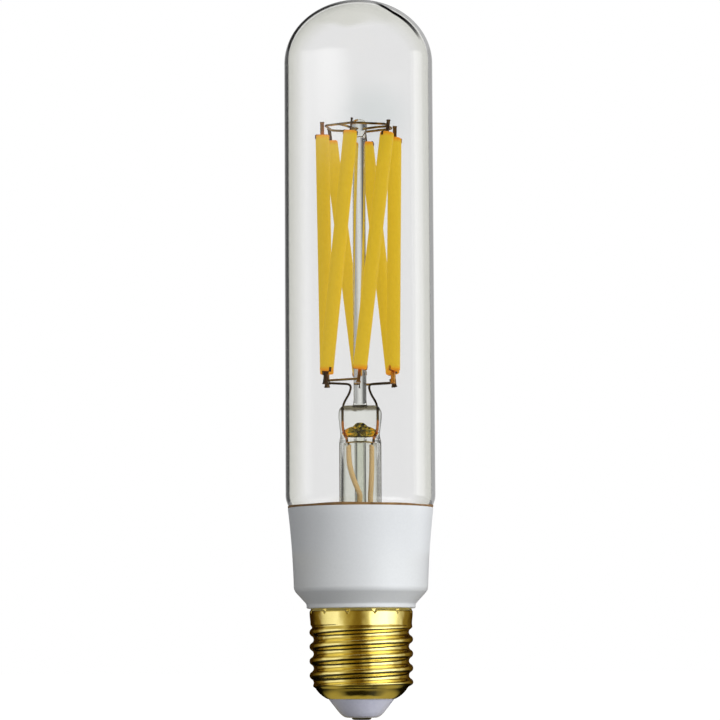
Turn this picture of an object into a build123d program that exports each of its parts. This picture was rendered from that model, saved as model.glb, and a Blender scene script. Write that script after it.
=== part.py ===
from build123d import *
import os
from math import cos, radians, sin, sqrt, tan

# Tubular LED filament lamp on an E27 screw cap, in millimetres.
# +Z runs up the lamp's axis from the cap to the dome, the front is towards -Y,
# and the origin is on the face of the centre contact.

# Whole lamp
lamp_length = 184.7
glass_radius = 19.1
glass_wall = 1.0
dome_height = 16.4
dome_fullness = 0.5523  # makes the dome's section a quarter of an ellipse

# Screw cap
thread_pitch = 3.629
thread_turns = 4
thread_crest_radius = 13.15
thread_depth = 1.05
thread_crest_flat = 0.9
thread_root_flat = 0.9
thread_run_out = 0.38  # plain land between the last groove and the skirt
groove_lead = 1.21  # the first groove starts this far below the thread
groove_overcut = 0.2  # the groove's flanks run this far past the crests
cap_wall = 0.6
skirt_height = 4.05
skirt_inset = 0.05  # the skirt lies this far inside the crests
bowl_size = 3.5  # width and height of the bowl's side
bowl_curve = 7.0
bowl_lip = 0.2  # flat edge round the hole in the cap's floor
punch_count = 12
punch_height = 1.1  # below the rim
punch_size = 1.0
punch_depth = 0.35

# Insulator and centre contact
contact_radius = 2.5
contact_height = 0.5
contact_edge = 0.3
shank_radius = 1.4
shank_rise = 0.7  # the shank stands this far out of the insulator inside the cap
shank_clearance = 0.05
nose_height = 4.8
nose_radius = 5.5
nose_bevel = 1.0
insulator_fit = 0.03
flange_height = 2.2

# Collar, the driver's housing
collar_height = 25.85
collar_wall = 1.5
collar_step = 0.55  # the collar's top edge lies this far inside the glass
collar_taper = 1.5
collar_sag = 0.25  # hollow of the tapered side
collar_edge = 0.25  # thickness of the top edge
mouth_depth = 2.2
foot_overhang = 0.75  # the foot reaches this far past the skirt
foot_height = 1.1
slope_rise = 3.9
slope_round = 1.0
spigot_depth = 8.0
spigot_wall = 1.5
spigot_clearance = 0.1

# Glass shoulder, neck and adhesive
shoulder_radius = 6.3
neck_step = 4.0  # the neck is this much smaller in radius than the tube
neck_round = 3.0
neck_length = 4.4
joint_width = 0.1  # adhesive showing between the collar's edge and the glass
joint_bead = 0.5
adhesive_depth = 3.6

# Stem
stem_height = 34.945  # from the neck's end to the top of the press
flare_radius = 5.4
flare_wall = 1.0
flare_land = 1.6  # flat rim that seals to the neck
press_thickness = 4.6
press_height = 6.8
press_corner = 1.0
press_shoulder = 3.0  # height over which the round tube is pressed flat
slit_width = 5.5
slit_thickness = 1.2
exhaust_radius = 1.55
exhaust_wall = 0.7
exhaust_tip = 1.2
exhaust_entry = 2.0  # the tube's top is sealed this far up in the flattened shoulder
exhaust_drop = 1.6  # the sealed tip stands this far below the neck's end
vent_rise = 1.6
rod_radius = 1.65
bead_radius = 2.1

# Filament cage
filament_count = 6
filament_length = 61.6
filament_width = 3.6  # round the cage
filament_thickness = 3.5
cage_radius = 9.8
cage_twist = 48.0
cage_turn = 150.0  # angle of the first filament's lower end
cage_rise = 8.5  # from the press to the filaments' lower ends
tab_width = 1.0  # out from the axis
top_tab_thickness = 0.5
top_tab_length = 3.3
foot_tab_thickness = 0.9
foot_tab_length = 3.4
ring_height = 2.4  # from the filaments' upper ends to the ring
bus_drop = 2.3  # from the filaments' lower ends to the bus wires
spoke_count = 3
spoke_embed = 1.2
wire_radius = 0.3
weld_clearance = 0.02

# Lead wires and their sleeves
lead_cover = 1.0  # glass outside a lead in the press
lead_knee_gap = 0.7  # from the rod to the knee of a lead
lead_overrun = 0.5
lead_bend = 0.9
lead_splay_rise = 2.3  # above the press's base, where a lead turns in to its sleeve
sleeve_radius = 0.65
sleeve_top_gap = 0.4  # below the flattened shoulder of the stem
sleeve_hold = 4.0  # length that lies on the driver board
sleeve_straight = 0.15  # share of the way down the flare that is straight at each end
left_sleeve_swing = 95.0  # how far a sleeve winds round the exhaust tube
right_sleeve_swing = -35.0

# Driver
board_thickness = 1.6
board_rise = 9.6  # above the collar's floor
board_slot_depth = 0.7
board_slot_stop = 1.2
board_clearance = 0.1
tail_drop = 9.5
tail_clearance = 0.6
capacitor_radius = 4.0
capacitor_length = 9.0
capacitor_edge = 0.6
capacitor_height = 4.8  # centre above the collar's floor
choke_radius = 3.2
choke_length = 5.5
choke_flange = 0.9
choke_waist = 0.8
choke_shift = 3.2
rectifier_size = (5.0, 2.2, 4.5)
chip_size = (5.0, 1.6, 4.0)
chip_height = 2.6  # centre above the collar's floor
resistor_radius = 1.4
resistor_length = 7.0
resistor_shift = 4.6
feed_wire_radius = 0.45
neutral_knee = 5.0
neutral_rise = 3.0
neutral_slope = 60.0

# Heights along the axis
cap_floor_z = contact_height + nose_height
thread_start_z = cap_floor_z + bowl_size
thread_end_z = thread_start_z + thread_turns * thread_pitch + thread_run_out
rim_z = thread_end_z + skirt_height
collar_top_z = rim_z + collar_height
foot_top_z = rim_z + foot_height
slope_top_z = foot_top_z + slope_rise

# Radii of the cap and collar
root_radius = thread_crest_radius - thread_depth
bore_radius = root_radius - cap_wall
skirt_radius = thread_crest_radius - skirt_inset
skirt_bore = skirt_radius - cap_wall
hole_radius = root_radius - bowl_size - bowl_lip
bowl_edge_radius = root_radius - bowl_size
foot_radius = skirt_radius + foot_overhang
collar_top_radius = glass_radius - collar_step
collar_base_radius = collar_top_radius - collar_taper
spigot_radius = bore_radius - spigot_clearance
spigot_bore = spigot_radius - spigot_wall

# Glass outline: shoulder arc, reversed neck arc and straight neck
joint_inset = collar_step + collar_edge + joint_width
shoulder_rise = sqrt(shoulder_radius**2 - (shoulder_radius - joint_inset) ** 2)
shoulder_z = collar_top_z + shoulder_rise
neck_radius = glass_radius - neck_step
arc_span = shoulder_radius + neck_round
arc_shift = arc_span - neck_step
neck_top_z = shoulder_z - sqrt(arc_span**2 - arc_shift**2)
neck_end_z = neck_top_z - neck_length
dome_z = lamp_length - dome_height

# Stem and cage heights
press_top_z = neck_end_z + stem_height
press_base_z = press_top_z - press_height
tube_top_z = press_base_z - press_shoulder
cage_base_z = press_top_z + cage_rise
cage_half_chord = cage_radius * sin(radians(cage_twist / 2))
cage_tall = sqrt(filament_length**2 - (2 * cage_half_chord) ** 2)
ring_z = cage_base_z + cage_tall + ring_height
bus_z = cage_base_z - bus_drop
corner_reach = wire_radius / cos(radians(180 / filament_count))
exhaust_top_z = tube_top_z + exhaust_entry
exhaust_end_z = neck_end_z - exhaust_drop

# Collar's inside and the driver board's seat
slope_run = collar_base_radius - foot_radius
slope_length = sqrt(slope_run**2 + slope_rise**2)
floor_z = foot_top_z + collar_wall * slope_run / slope_length
floor_radius = foot_radius - collar_wall * slope_rise / slope_length
inner_base_radius = collar_base_radius - collar_wall
inner_base_z = floor_z + (inner_base_radius - floor_radius) * slope_rise / slope_run
spigot_end_z = rim_z - spigot_depth
slot_floor_z = spigot_end_z + board_slot_stop
board_top_z = floor_z + board_rise
tail_end_z = slot_floor_z - tail_drop
board_face = board_thickness / 2

os.makedirs("parts", exist_ok=True)


def save(part, name):
    part.label = name
    export_step(part, f"parts/{name}.step")


def around(radius, angle, z):
    return Vector(radius * cos(radians(angle)), radius * sin(radians(angle)), z)


def bent_wire(points, radius):
    """Round wire along straight runs, mitred at its corners."""
    with BuildPart() as wire:
        with BuildLine() as route:
            Polyline(*points)
        with BuildSketch(Plane(route.line @ 0, z_dir=route.line % 0)):
            Circle(radius)
        sweep(path=route.line, transition=Transition.RIGHT)
    return wire.part


def low_end(number):
    return around(cage_radius, cage_turn + 360 * number / filament_count, cage_base_z)


def high_end(number):
    turn = cage_turn + cage_twist + 360 * number / filament_count
    return around(cage_radius, turn, cage_base_z + cage_tall)


def rise_of(number):
    return (high_end(number) - low_end(number)).normalized()


def tab_face(end, along):
    """Plane across a tab where it leaves a filament's end, with X out from the axis."""
    return Plane(end, x_dir=Vector(end.X, end.Y, 0), z_dir=along)


def weld_point(end, rise, z):
    """Centre of a wire's corner at height z, laid against the inner edge of the tab on this end."""
    out = Vector(end.X, end.Y, 0).normalized()
    inward = (rise * out.dot(rise) - out).normalized()
    tab_middle = end + rise * ((z - end.Z) / rise.Z)
    return tab_middle + inward * (tab_width / 2 + corner_reach + weld_clearance)


def glass_body(inset):
    """Solid of the bulb's outline, drawn this far inside the outer skin."""
    shoulder = shoulder_radius - inset
    reverse = neck_round + inset
    tube = glass_radius - inset
    neck = neck_radius - inset
    rise = dome_height - inset
    centre = glass_radius - shoulder_radius
    turn = Vector(centre + shoulder * arc_shift / arc_span,
                  shoulder_z - shoulder / arc_span * (shoulder_z - neck_top_z))
    with BuildPart() as body:
        with BuildSketch(Plane.XZ):
            with BuildLine():
                Polyline((0, neck_end_z), (neck, neck_end_z), (neck, neck_top_z))
                RadiusArc((neck, neck_top_z), turn, reverse)
                RadiusArc(turn, (tube, shoulder_z), -shoulder)
                Line((tube, shoulder_z), (tube, dome_z))
                Bezier(
                    (tube, dome_z),
                    (tube, dome_z + dome_fullness * rise),
                    (dome_fullness * tube, dome_z + rise),
                    (0, dome_z + rise),
                )
                Line((0, dome_z + rise), (0, neck_end_z))
            make_face()
        revolve(axis=Axis.Z)
    return body.part


# Glass envelope, a tube with a round dome, drawn in to a neck below
glass_skin = glass_body(0)
with BuildPart() as glass_envelope:
    add(glass_skin)
    add(glass_body(glass_wall), mode=Mode.SUBTRACT)
save(glass_envelope.part, "glass_envelope")

# Screw cap: bowl, E27 thread and plain skirt, pressed from sheet brass
with BuildPart() as screw_cap:
    with BuildSketch(Plane.XZ):
        with BuildLine():
            RadiusArc((bowl_edge_radius, cap_floor_z), (root_radius, thread_start_z), -bowl_curve)
            Polyline(
                (root_radius, thread_start_z),
                (thread_crest_radius, thread_start_z + thread_depth),
                (thread_crest_radius, thread_end_z - skirt_inset),
                (skirt_radius, thread_end_z),
                (skirt_radius, rim_z),
                (skirt_bore, rim_z),
                (skirt_bore, thread_end_z + cap_wall),
                (bore_radius, thread_end_z + cap_wall),
                (bore_radius, thread_start_z),
            )
            RadiusArc((bore_radius, thread_start_z), (bowl_edge_radius, cap_floor_z + cap_wall), bowl_curve)
            Polyline(
                (bowl_edge_radius, cap_floor_z + cap_wall),
                (hole_radius, cap_floor_z + cap_wall),
                (hole_radius, cap_floor_z),
                (bowl_edge_radius, cap_floor_z),
            )
        make_face()
    revolve(axis=Axis.Z)
    groove_z = thread_start_z - groove_lead
    half_groove = (thread_pitch - thread_crest_flat) / 2
    half_root = thread_root_flat / 2
    flank_rise = groove_overcut * (half_groove - half_root) / thread_depth
    with BuildSketch(Plane.XZ) as groove:
        with BuildLine():
            Polyline(
                (thread_crest_radius + groove_overcut, groove_z + half_groove + flank_rise),
                (root_radius, groove_z + half_root),
                (root_radius, groove_z - half_root),
                (thread_crest_radius + groove_overcut, groove_z - half_groove - flank_rise),
                close=True,
            )
        make_face()
    with BuildLine() as thread_helix:
        Helix(thread_pitch, thread_turns * thread_pitch, thread_crest_radius, center=(0, 0, groove_z))
    sweep(groove.sketch, path=thread_helix.line, is_frenet=True, mode=Mode.SUBTRACT)
    for number in range(punch_count):
        turn = 360 * (number + 0.5) / punch_count
        face = around(skirt_radius, turn, rim_z - punch_height)
        with BuildSketch(Plane(face, x_dir=around(1, turn + 90, 0), z_dir=around(1, turn, 0))):
            RegularPolygon(punch_size, 3, rotation=90)
        extrude(amount=-punch_depth, mode=Mode.SUBTRACT)
save(screw_cap.part, "screw_cap")

# Insulator: nose below the cap, plug through its floor and a flange that stands on it
with BuildPart() as insulator:
    plug_radius = hole_radius - insulator_fit
    seat_z = cap_floor_z + cap_wall
    flange_z = seat_z + flange_height
    with BuildSketch(Plane.XZ):
        with BuildLine():
            Polyline(
                (shank_radius + shank_clearance, contact_height),
                (nose_radius - nose_bevel, contact_height),
                (nose_radius, contact_height + nose_bevel),
                (plug_radius, cap_floor_z),
                (plug_radius, seat_z),
                (bowl_edge_radius, seat_z),
                (bowl_edge_radius, flange_z),
                (shank_radius + shank_clearance, flange_z),
                close=True,
            )
        make_face()
    revolve(axis=Axis.Z)
save(insulator.part, "insulator")

# Centre contact, a rivet through the insulator
with BuildPart() as centre_contact:
    shank_top_z = flange_z + shank_rise
    with BuildSketch():
        Circle(contact_radius)
    extrude(amount=contact_height)
    chamfer(edges().group_by(Axis.Z)[0], contact_edge)
    with BuildSketch(Plane.XY.offset(contact_height)):
        Circle(shank_radius)
    extrude(amount=shank_top_z - contact_height)
save(centre_contact.part, "centre_contact")

# Collar, with a spigot that fits the cap and a mouth that takes the glass
with BuildPart() as collar:
    mouth_z = collar_top_z - mouth_depth
    mouth_radius = collar_top_radius - collar_wall
    step_z = thread_end_z + cap_wall + spigot_clearance
    upper_spigot = skirt_bore - spigot_clearance
    with BuildSketch(Plane.XZ):
        with BuildLine():
            Polyline(
                (foot_radius, rim_z),
                (foot_radius, foot_top_z),
                (collar_base_radius, slope_top_z),
            )
            SagittaArc((collar_base_radius, slope_top_z), (collar_top_radius, collar_top_z), collar_sag)
            Polyline(
                (collar_top_radius, collar_top_z),
                (collar_top_radius - collar_edge, collar_top_z),
                (mouth_radius, mouth_z),
            )
            SagittaArc((mouth_radius, mouth_z), (inner_base_radius, inner_base_z), -collar_sag)
            Polyline(
                (inner_base_radius, inner_base_z),
                (floor_radius, floor_z),
                (spigot_bore, floor_z),
                (spigot_bore, spigot_end_z),
                (spigot_radius, spigot_end_z),
                (spigot_radius, step_z),
                (upper_spigot, step_z),
                (upper_spigot, rim_z),
                (foot_radius, rim_z),
            )
        make_face()
        corner = vertices().sort_by_distance((collar_base_radius, slope_top_z))[0]
        fillet(corner, slope_round)
    revolve(axis=Axis.Z)
    with Locations((0, 0, (slot_floor_z + floor_z) / 2)):
        Box(
            2 * (spigot_bore + board_slot_depth),
            board_thickness + 2 * board_clearance,
            floor_z - slot_floor_z,
            mode=Mode.SUBTRACT,
        )
save(collar.part, "collar")

# Adhesive between the collar's mouth and the glass neck
with BuildPart() as neck_adhesive:
    base_z = collar_top_z - adhesive_depth
    along = (base_z - slope_top_z) / (collar_top_z - slope_top_z)
    wall_middle = collar_base_radius + along * collar_taper - collar_wall / 2
    with BuildSketch(Plane.XZ):
        with BuildLine():
            Polyline(
                (neck_radius - glass_wall, base_z),
                (wall_middle, base_z),
                (collar_top_radius - collar_edge / 2, collar_top_z),
                (collar_top_radius - collar_edge / 2, collar_top_z + joint_bead),
                (neck_radius - glass_wall, collar_top_z + joint_bead),
                close=True,
            )
        make_face()
    revolve(axis=Axis.Z)
    add(collar.part, mode=Mode.SUBTRACT)
    add(glass_skin, mode=Mode.SUBTRACT)
save(neck_adhesive.part, "neck_adhesive")

# Lead wires, from the bus wires through the press to the sleeves in the flare
bus_corner = weld_point(low_end(0), rise_of(0), bus_z)
bus_radius = sqrt(bus_corner.X**2 + bus_corner.Y**2)
lead_reach = bus_radius * cos(radians(180 / filament_count)) + lead_overrun
lead_z = bus_corner.Z - 2 * wire_radius - weld_clearance
press_lead = flare_radius - lead_cover
knee_x = rod_radius + lead_knee_gap
sleeve_orbit = (exhaust_radius + flare_radius - flare_wall) / 2
sleeve_top_z = tube_top_z - sleeve_top_gap
leads = {}
for name, side in (("left_lead", -1), ("right_lead", 1)):
    leads[name] = bent_wire(
        [
            (side * lead_reach, 0, lead_z),
            (side * (knee_x + lead_bend), 0, lead_z),
            (side * knee_x, 0, lead_z - lead_bend),
            (side * press_lead, 0, press_top_z),
            (side * press_lead, 0, press_base_z + lead_splay_rise),
            (side * sleeve_orbit, 0, tube_top_z + press_shoulder / 2),
            (side * sleeve_orbit, 0, sleeve_top_z),
        ],
        wire_radius,
    )
    save(leads[name], name)

# Exhaust tube in the stem, sealed at its lower tip
with BuildPart() as exhaust_tube:
    with BuildSketch(Plane.XY.offset(exhaust_end_z)):
        Circle(exhaust_radius)
    extrude(amount=exhaust_top_z - exhaust_end_z)
    chamfer(edges().group_by(Axis.Z)[0], exhaust_tip, exhaust_tip / 2)
    with BuildSketch(Plane.XY.offset(exhaust_end_z + 2 * exhaust_radius)):
        Circle(exhaust_radius - exhaust_wall)
    extrude(amount=exhaust_top_z - exhaust_end_z, mode=Mode.SUBTRACT)
save(exhaust_tube.part, "exhaust_tube")

# Stem: a tube that flares out to the neck below and is pressed flat round the leads above
with BuildPart() as stem_flare:
    neck_bore = neck_radius - glass_wall
    bell = neck_bore - flare_land - flare_radius
    bell_z = neck_end_z + flare_wall + bell
    flare_bore = flare_radius - flare_wall
    with BuildSketch(Plane.XZ):
        with BuildLine():
            Line((flare_radius, tube_top_z), (flare_radius, bell_z))
            RadiusArc((flare_radius, bell_z), (flare_radius + bell, neck_end_z + flare_wall), -bell)
            Polyline(
                (flare_radius + bell, neck_end_z + flare_wall),
                (neck_bore, neck_end_z + flare_wall),
                (neck_bore, neck_end_z),
                (flare_radius + bell, neck_end_z),
            )
            RadiusArc((flare_radius + bell, neck_end_z), (flare_bore, bell_z), bell + flare_wall)
            Polyline((flare_bore, bell_z), (flare_bore, tube_top_z), (flare_radius, tube_top_z))
        make_face()
    revolve(axis=Axis.Z)
    with BuildSketch(Plane.XY.offset(tube_top_z)):
        Circle(flare_radius)
    extrude(amount=press_shoulder + press_height)
    with BuildSketch(Plane.YZ):
        with BuildLine():
            Polyline(
                (flare_radius, tube_top_z),
                (press_thickness / 2, press_base_z),
                (press_thickness / 2, press_top_z),
                (flare_radius, press_top_z),
                close=True,
            )
        make_face()
        mirror(about=Plane.YZ)
    extrude(amount=flare_radius, both=True, mode=Mode.SUBTRACT)
    chamfer(faces().sort_by(Axis.Z)[-1].edges().filter_by(GeomType.CIRCLE), press_corner)
    with BuildSketch(Plane.XZ):
        with BuildLine():
            Polyline(
                (-flare_bore, tube_top_z),
                (flare_bore, tube_top_z),
                (slit_width / 2, exhaust_top_z),
                (-slit_width / 2, exhaust_top_z),
                close=True,
            )
        make_face()
    extrude(amount=slit_thickness / 2, both=True, mode=Mode.SUBTRACT)
    with BuildSketch(Plane.XY.offset(tube_top_z)):
        Circle(exhaust_radius)
    extrude(amount=exhaust_top_z - tube_top_z, mode=Mode.SUBTRACT)
    vent_z = exhaust_top_z + vent_rise
    with BuildSketch(Plane.XY.offset(exhaust_top_z)):
        Circle(exhaust_radius - exhaust_wall)
    extrude(amount=vent_rise, mode=Mode.SUBTRACT)
    with BuildSketch(Plane.XZ):
        with Locations((0, vent_z)):
            Circle(exhaust_radius - exhaust_wall)
    extrude(amount=press_thickness, mode=Mode.SUBTRACT)
    for lead in leads.values():
        add(lead, mode=Mode.SUBTRACT)
save(stem_flare.part, "stem_flare")

# Wire ring over the filaments, straight from tab to tab, and the spokes that hold it in the rod's bead
corners = [weld_point(high_end(number), rise_of(number), ring_z) for number in range(filament_count)]
with BuildPart() as top_ring:
    with BuildLine() as ring_route:
        Polyline(*corners, close=True)
    with BuildSketch(Plane(ring_route.line @ 0, z_dir=ring_route.line % 0)):
        Circle(wire_radius)
    sweep(path=ring_route.line, transition=Transition.RIGHT)
save(top_ring.part, "top_ring")

bead_z = corners[0].Z
spokes = []
for number in range(spoke_count):
    first = number * filament_count // spoke_count
    middle = (corners[first] + corners[(first + 1) % filament_count]) / 2
    outward = Vector(middle.X, middle.Y, 0).normalized()
    inner = bead_radius - spoke_embed
    outer = sqrt(middle.X**2 + middle.Y**2) - wire_radius - weld_clearance
    with BuildPart() as ring_spoke:
        with BuildSketch(Plane(outward * inner + Vector(0, 0, bead_z), z_dir=outward)):
            Circle(wire_radius)
        extrude(amount=outer - inner)
    spokes.append(ring_spoke.part)
    save(ring_spoke.part, f"ring_spoke_{number + 1}")

# Glass rod on the press, with a bead on top
with BuildPart() as centre_rod:
    with BuildSketch(Plane.XY.offset(press_top_z)):
        Circle(rod_radius)
    extrude(amount=bead_z - press_top_z)
    with Locations((0, 0, bead_z)):
        Sphere(bead_radius)
    for spoke in spokes:
        add(spoke, mode=Mode.SUBTRACT)
save(centre_rod.part, "centre_rod")

# Filaments in a twisted cage, each with a tab at both ends
for number in range(filament_count):
    low = low_end(number)
    high = high_end(number)
    rise = rise_of(number)
    outward = Vector(low.X + high.X, low.Y + high.Y, 0)
    with BuildPart() as filament:
        with BuildSketch(Plane(low, x_dir=rise.cross(outward), z_dir=rise)):
            SlotOverall(filament_width, filament_thickness)
        extrude(amount=filament_length)
    save(filament.part, f"filament_{number + 1}")
    with BuildPart() as top_tab:
        with BuildSketch(tab_face(high, rise)):
            Rectangle(tab_width, top_tab_thickness)
        extrude(amount=top_tab_length)
    save(top_tab.part, f"top_tab_{number + 1}")
    with BuildPart() as foot_tab:
        with BuildSketch(tab_face(low, -rise)):
            Rectangle(tab_width, foot_tab_thickness)
        extrude(amount=foot_tab_length)
    save(foot_tab.part, f"foot_tab_{number + 1}")

# Bus wires, each joining half of the filaments' lower ends
half_count = filament_count // 2
for first, name in ((0, "left_bus"), (half_count, "right_bus")):
    posts = []
    for number in range(first, first + half_count):
        posts.append(weld_point(low_end(number), rise_of(number), bus_z))
    save(bent_wire(posts, wire_radius), name)

# Sleeved feed wires that wind down through the flare to the driver board
sleeve_face_y = -(board_face + sleeve_radius + weld_clearance)
sleeve_end_z = board_top_z - sleeve_hold
for name, start_angle, swing in (
    ("left_sleeve", 180, left_sleeve_swing),
    ("right_sleeve", 0, right_sleeve_swing),
):
    side = cos(radians(start_angle))
    wind = sleeve_top_z - collar_top_z
    route = []
    for fall, wound in ((0, 0), (sleeve_straight, 0), (0.5, 0.5), (1 - sleeve_straight, 1)):
        route.append(around(sleeve_orbit, start_angle + swing * wound, sleeve_top_z - wind * fall))
    route.append(Vector(side * sleeve_orbit, sleeve_face_y, board_top_z))
    route.append(Vector(side * sleeve_orbit, sleeve_face_y, sleeve_end_z))
    save(bent_wire(route, sleeve_radius), name)

# Driver board: its shoulders stand in the spigot's slots and its tail hangs in the cap
with BuildPart() as driver_board:
    shoulder_half = spigot_bore + board_slot_depth - board_clearance
    tail_half = spigot_bore - tail_clearance
    with BuildSketch(Plane.XZ):
        with BuildLine():
            Polyline(
                (-tail_half, tail_end_z),
                (tail_half, tail_end_z),
                (tail_half, slot_floor_z),
                (shoulder_half, slot_floor_z),
                (shoulder_half, board_top_z),
                (-shoulder_half, board_top_z),
                (-shoulder_half, slot_floor_z),
                (-tail_half, slot_floor_z),
                close=True,
            )
        make_face()
    extrude(amount=board_thickness / 2, both=True)
save(driver_board.part, "driver_board")

# Parts on the driver board
board_front = Plane((0, -board_face, 0), x_dir=(1, 0, 0), z_dir=(0, -1, 0))
board_back = Plane((0, board_face, 0), x_dir=(-1, 0, 0), z_dir=(0, 1, 0))
spigot_middle_z = (slot_floor_z + floor_z) / 2

with BuildPart() as smoothing_capacitor:
    with BuildSketch(board_back):
        with Locations((0, floor_z + capacitor_height)):
            Circle(capacitor_radius)
    extrude(amount=capacitor_length)
    chamfer(edges().group_by(Axis.Y)[-1], capacitor_edge)
save(smoothing_capacitor.part, "smoothing_capacitor")

with BuildPart() as choke:
    with BuildSketch(board_front):
        with Locations((-choke_shift, spigot_middle_z)):
            Circle(choke_radius)
    extrude(amount=choke_length)
    with BuildSketch(board_front.offset(choke_flange)):
        with Locations((-choke_shift, spigot_middle_z)):
            Circle(choke_radius)
            Circle(choke_radius - choke_waist, mode=Mode.SUBTRACT)
    extrude(amount=choke_length - 2 * choke_flange, mode=Mode.SUBTRACT)
save(choke.part, "choke")

with BuildPart() as rectifier:
    with BuildSketch(board_back):
        with Locations((0, spigot_middle_z)):
            Rectangle(rectifier_size[0], rectifier_size[2])
    extrude(amount=rectifier_size[1])
save(rectifier.part, "rectifier")

with BuildPart() as controller_chip:
    with BuildSketch(board_front):
        with Locations((0, floor_z + chip_height)):
            Rectangle(chip_size[0], chip_size[2])
    extrude(amount=chip_size[1])
save(controller_chip.part, "controller_chip")

with BuildPart() as fusible_resistor:
    resistor_y = -(board_face + resistor_radius + weld_clearance)
    foot = Vector(resistor_shift, resistor_y, spigot_middle_z - resistor_length / 2)
    with BuildSketch(Plane(foot, z_dir=(0, 0, 1))):
        Circle(resistor_radius)
    extrude(amount=resistor_length)
save(fusible_resistor.part, "fusible_resistor")

# Feed wires from the board to the centre contact and to the cap
with BuildPart() as live_wire:
    with BuildSketch(Plane.XY.offset(shank_top_z)):
        Circle(feed_wire_radius)
    extrude(amount=tail_end_z - shank_top_z)
save(live_wire.part, "live_wire")

neutral_z = (tail_end_z + spigot_end_z) / 2
neutral_end_y = -sqrt(bore_radius**2 - feed_wire_radius**2)
neutral_wire = bent_wire(
    [
        (0, -board_face, neutral_z),
        (0, -neutral_knee, neutral_z),
        (0, -neutral_knee - neutral_rise / tan(radians(neutral_slope)), neutral_z + neutral_rise),
        (0, neutral_end_y, neutral_z + neutral_rise),
    ],
    feed_wire_radius,
)
save(neutral_wire, "neutral_wire")
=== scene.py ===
from math import acos, atan2, cos, hypot, pi, radians, sin, sqrt, tan

import bpy
from mathutils import Matrix, Vector


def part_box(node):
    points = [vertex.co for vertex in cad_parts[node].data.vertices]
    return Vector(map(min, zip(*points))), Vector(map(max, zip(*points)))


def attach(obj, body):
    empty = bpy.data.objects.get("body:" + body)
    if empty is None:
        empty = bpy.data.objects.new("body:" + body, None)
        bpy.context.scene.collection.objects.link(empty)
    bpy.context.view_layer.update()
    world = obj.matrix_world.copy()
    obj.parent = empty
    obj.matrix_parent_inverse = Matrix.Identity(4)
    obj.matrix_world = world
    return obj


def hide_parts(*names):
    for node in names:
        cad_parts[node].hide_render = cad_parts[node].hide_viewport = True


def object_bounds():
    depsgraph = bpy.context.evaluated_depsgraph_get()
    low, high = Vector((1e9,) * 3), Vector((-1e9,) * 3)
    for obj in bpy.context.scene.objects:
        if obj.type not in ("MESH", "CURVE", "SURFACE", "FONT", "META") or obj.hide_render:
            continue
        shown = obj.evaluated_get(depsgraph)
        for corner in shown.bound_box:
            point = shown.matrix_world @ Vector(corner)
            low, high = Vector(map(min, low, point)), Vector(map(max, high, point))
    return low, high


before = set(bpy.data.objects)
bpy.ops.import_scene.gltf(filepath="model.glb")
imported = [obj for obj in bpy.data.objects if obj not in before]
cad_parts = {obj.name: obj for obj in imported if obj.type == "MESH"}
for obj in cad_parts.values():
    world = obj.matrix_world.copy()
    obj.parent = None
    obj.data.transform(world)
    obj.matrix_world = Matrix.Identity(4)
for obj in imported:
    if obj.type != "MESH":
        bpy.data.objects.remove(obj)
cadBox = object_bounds()
print("frame loaded")


# Small tools

def mm(value):  # millimetres to metres
    return value / 1000


def linear(code):  # sRGB hex to a linear colour
    shades = [int(code[at:at + 2], 16) / 255 for at in (1, 3, 5)]
    return [s / 12.92 if s <= 0.04045 else ((s + 0.055) / 1.055) ** 2.4 for s in shades] + [1.0]


def smooth(low, high, value):  # 0 below low, 1 above high, eased between
    share = min(max((value - low) / (high - low), 0.0), 1.0)
    return share * share * (3 - 2 * share)


def heightOf(node, top=True):  # a CAD node's highest or lowest point, in millimetres
    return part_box(node)[1 if top else 0].z * 1000


def clearSelection():
    if bpy.context.mode != "OBJECT":
        bpy.ops.object.mode_set(mode="OBJECT")
    bpy.ops.object.select_all(action="DESELECT")


def activate(piece):
    clearSelection()
    piece.select_set(True)
    bpy.context.view_layer.objects.active = piece


def pick(piece, test):  # in edit mode, selects the vertices whose place passes the test
    bpy.ops.mesh.select_mode(type="VERT")
    bpy.ops.mesh.select_all(action="DESELECT")
    bpy.ops.object.mode_set(mode="OBJECT")
    for vertex in piece.data.vertices:
        vertex.select = test(vertex.co)
    bpy.ops.object.mode_set(mode="EDIT")


def drawOutline(name, corners):  # half section in the XZ plane; a corner may add its setback and segments
    clearSelection()
    startAt = (mm(corners[0][0]), 0, mm(corners[0][1]))
    bpy.ops.mesh.primitive_plane_add(size=mm(0.1), location=startAt)
    piece = bpy.context.object
    piece.name = name
    bpy.ops.object.transform_apply(location=True)
    bpy.ops.object.mode_set(mode="EDIT")
    bpy.ops.mesh.merge(type="CENTER")
    for before, after in zip(corners, corners[1:]):
        step = (mm(after[0] - before[0]), 0, mm(after[1] - before[1]))
        bpy.ops.mesh.extrude_region_move(TRANSFORM_OT_translate={"value": step})
    for corner in [c for c in corners if len(c) > 2]:
        at = Vector((mm(corner[0]), 0, mm(corner[1])))
        pick(piece, lambda place: (place - at).length < mm(0.004))
        bpy.ops.mesh.bevel(offset=mm(corner[2]), affect="VERTICES", segments=corner[3], clamp_overlap=False)
    return piece


def arcPoints(start, end, curve, steps):  # points of an arc that bulges to the right of its way
    way = Vector(end) - Vector(start)
    side = Vector((way.y, -way.x)).normalized()
    centre = (Vector(start) + Vector(end)) / 2 - side * sqrt(curve ** 2 - (way.length / 2) ** 2)
    first = atan2(start[1] - centre.y, start[0] - centre.x)
    last = atan2(end[1] - centre.y, end[0] - centre.x)
    angles = [first + (last - first) * step / steps for step in range(steps + 1)]
    return [(centre.x + curve * cos(angle), centre.y + curve * sin(angle)) for angle in angles]


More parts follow.
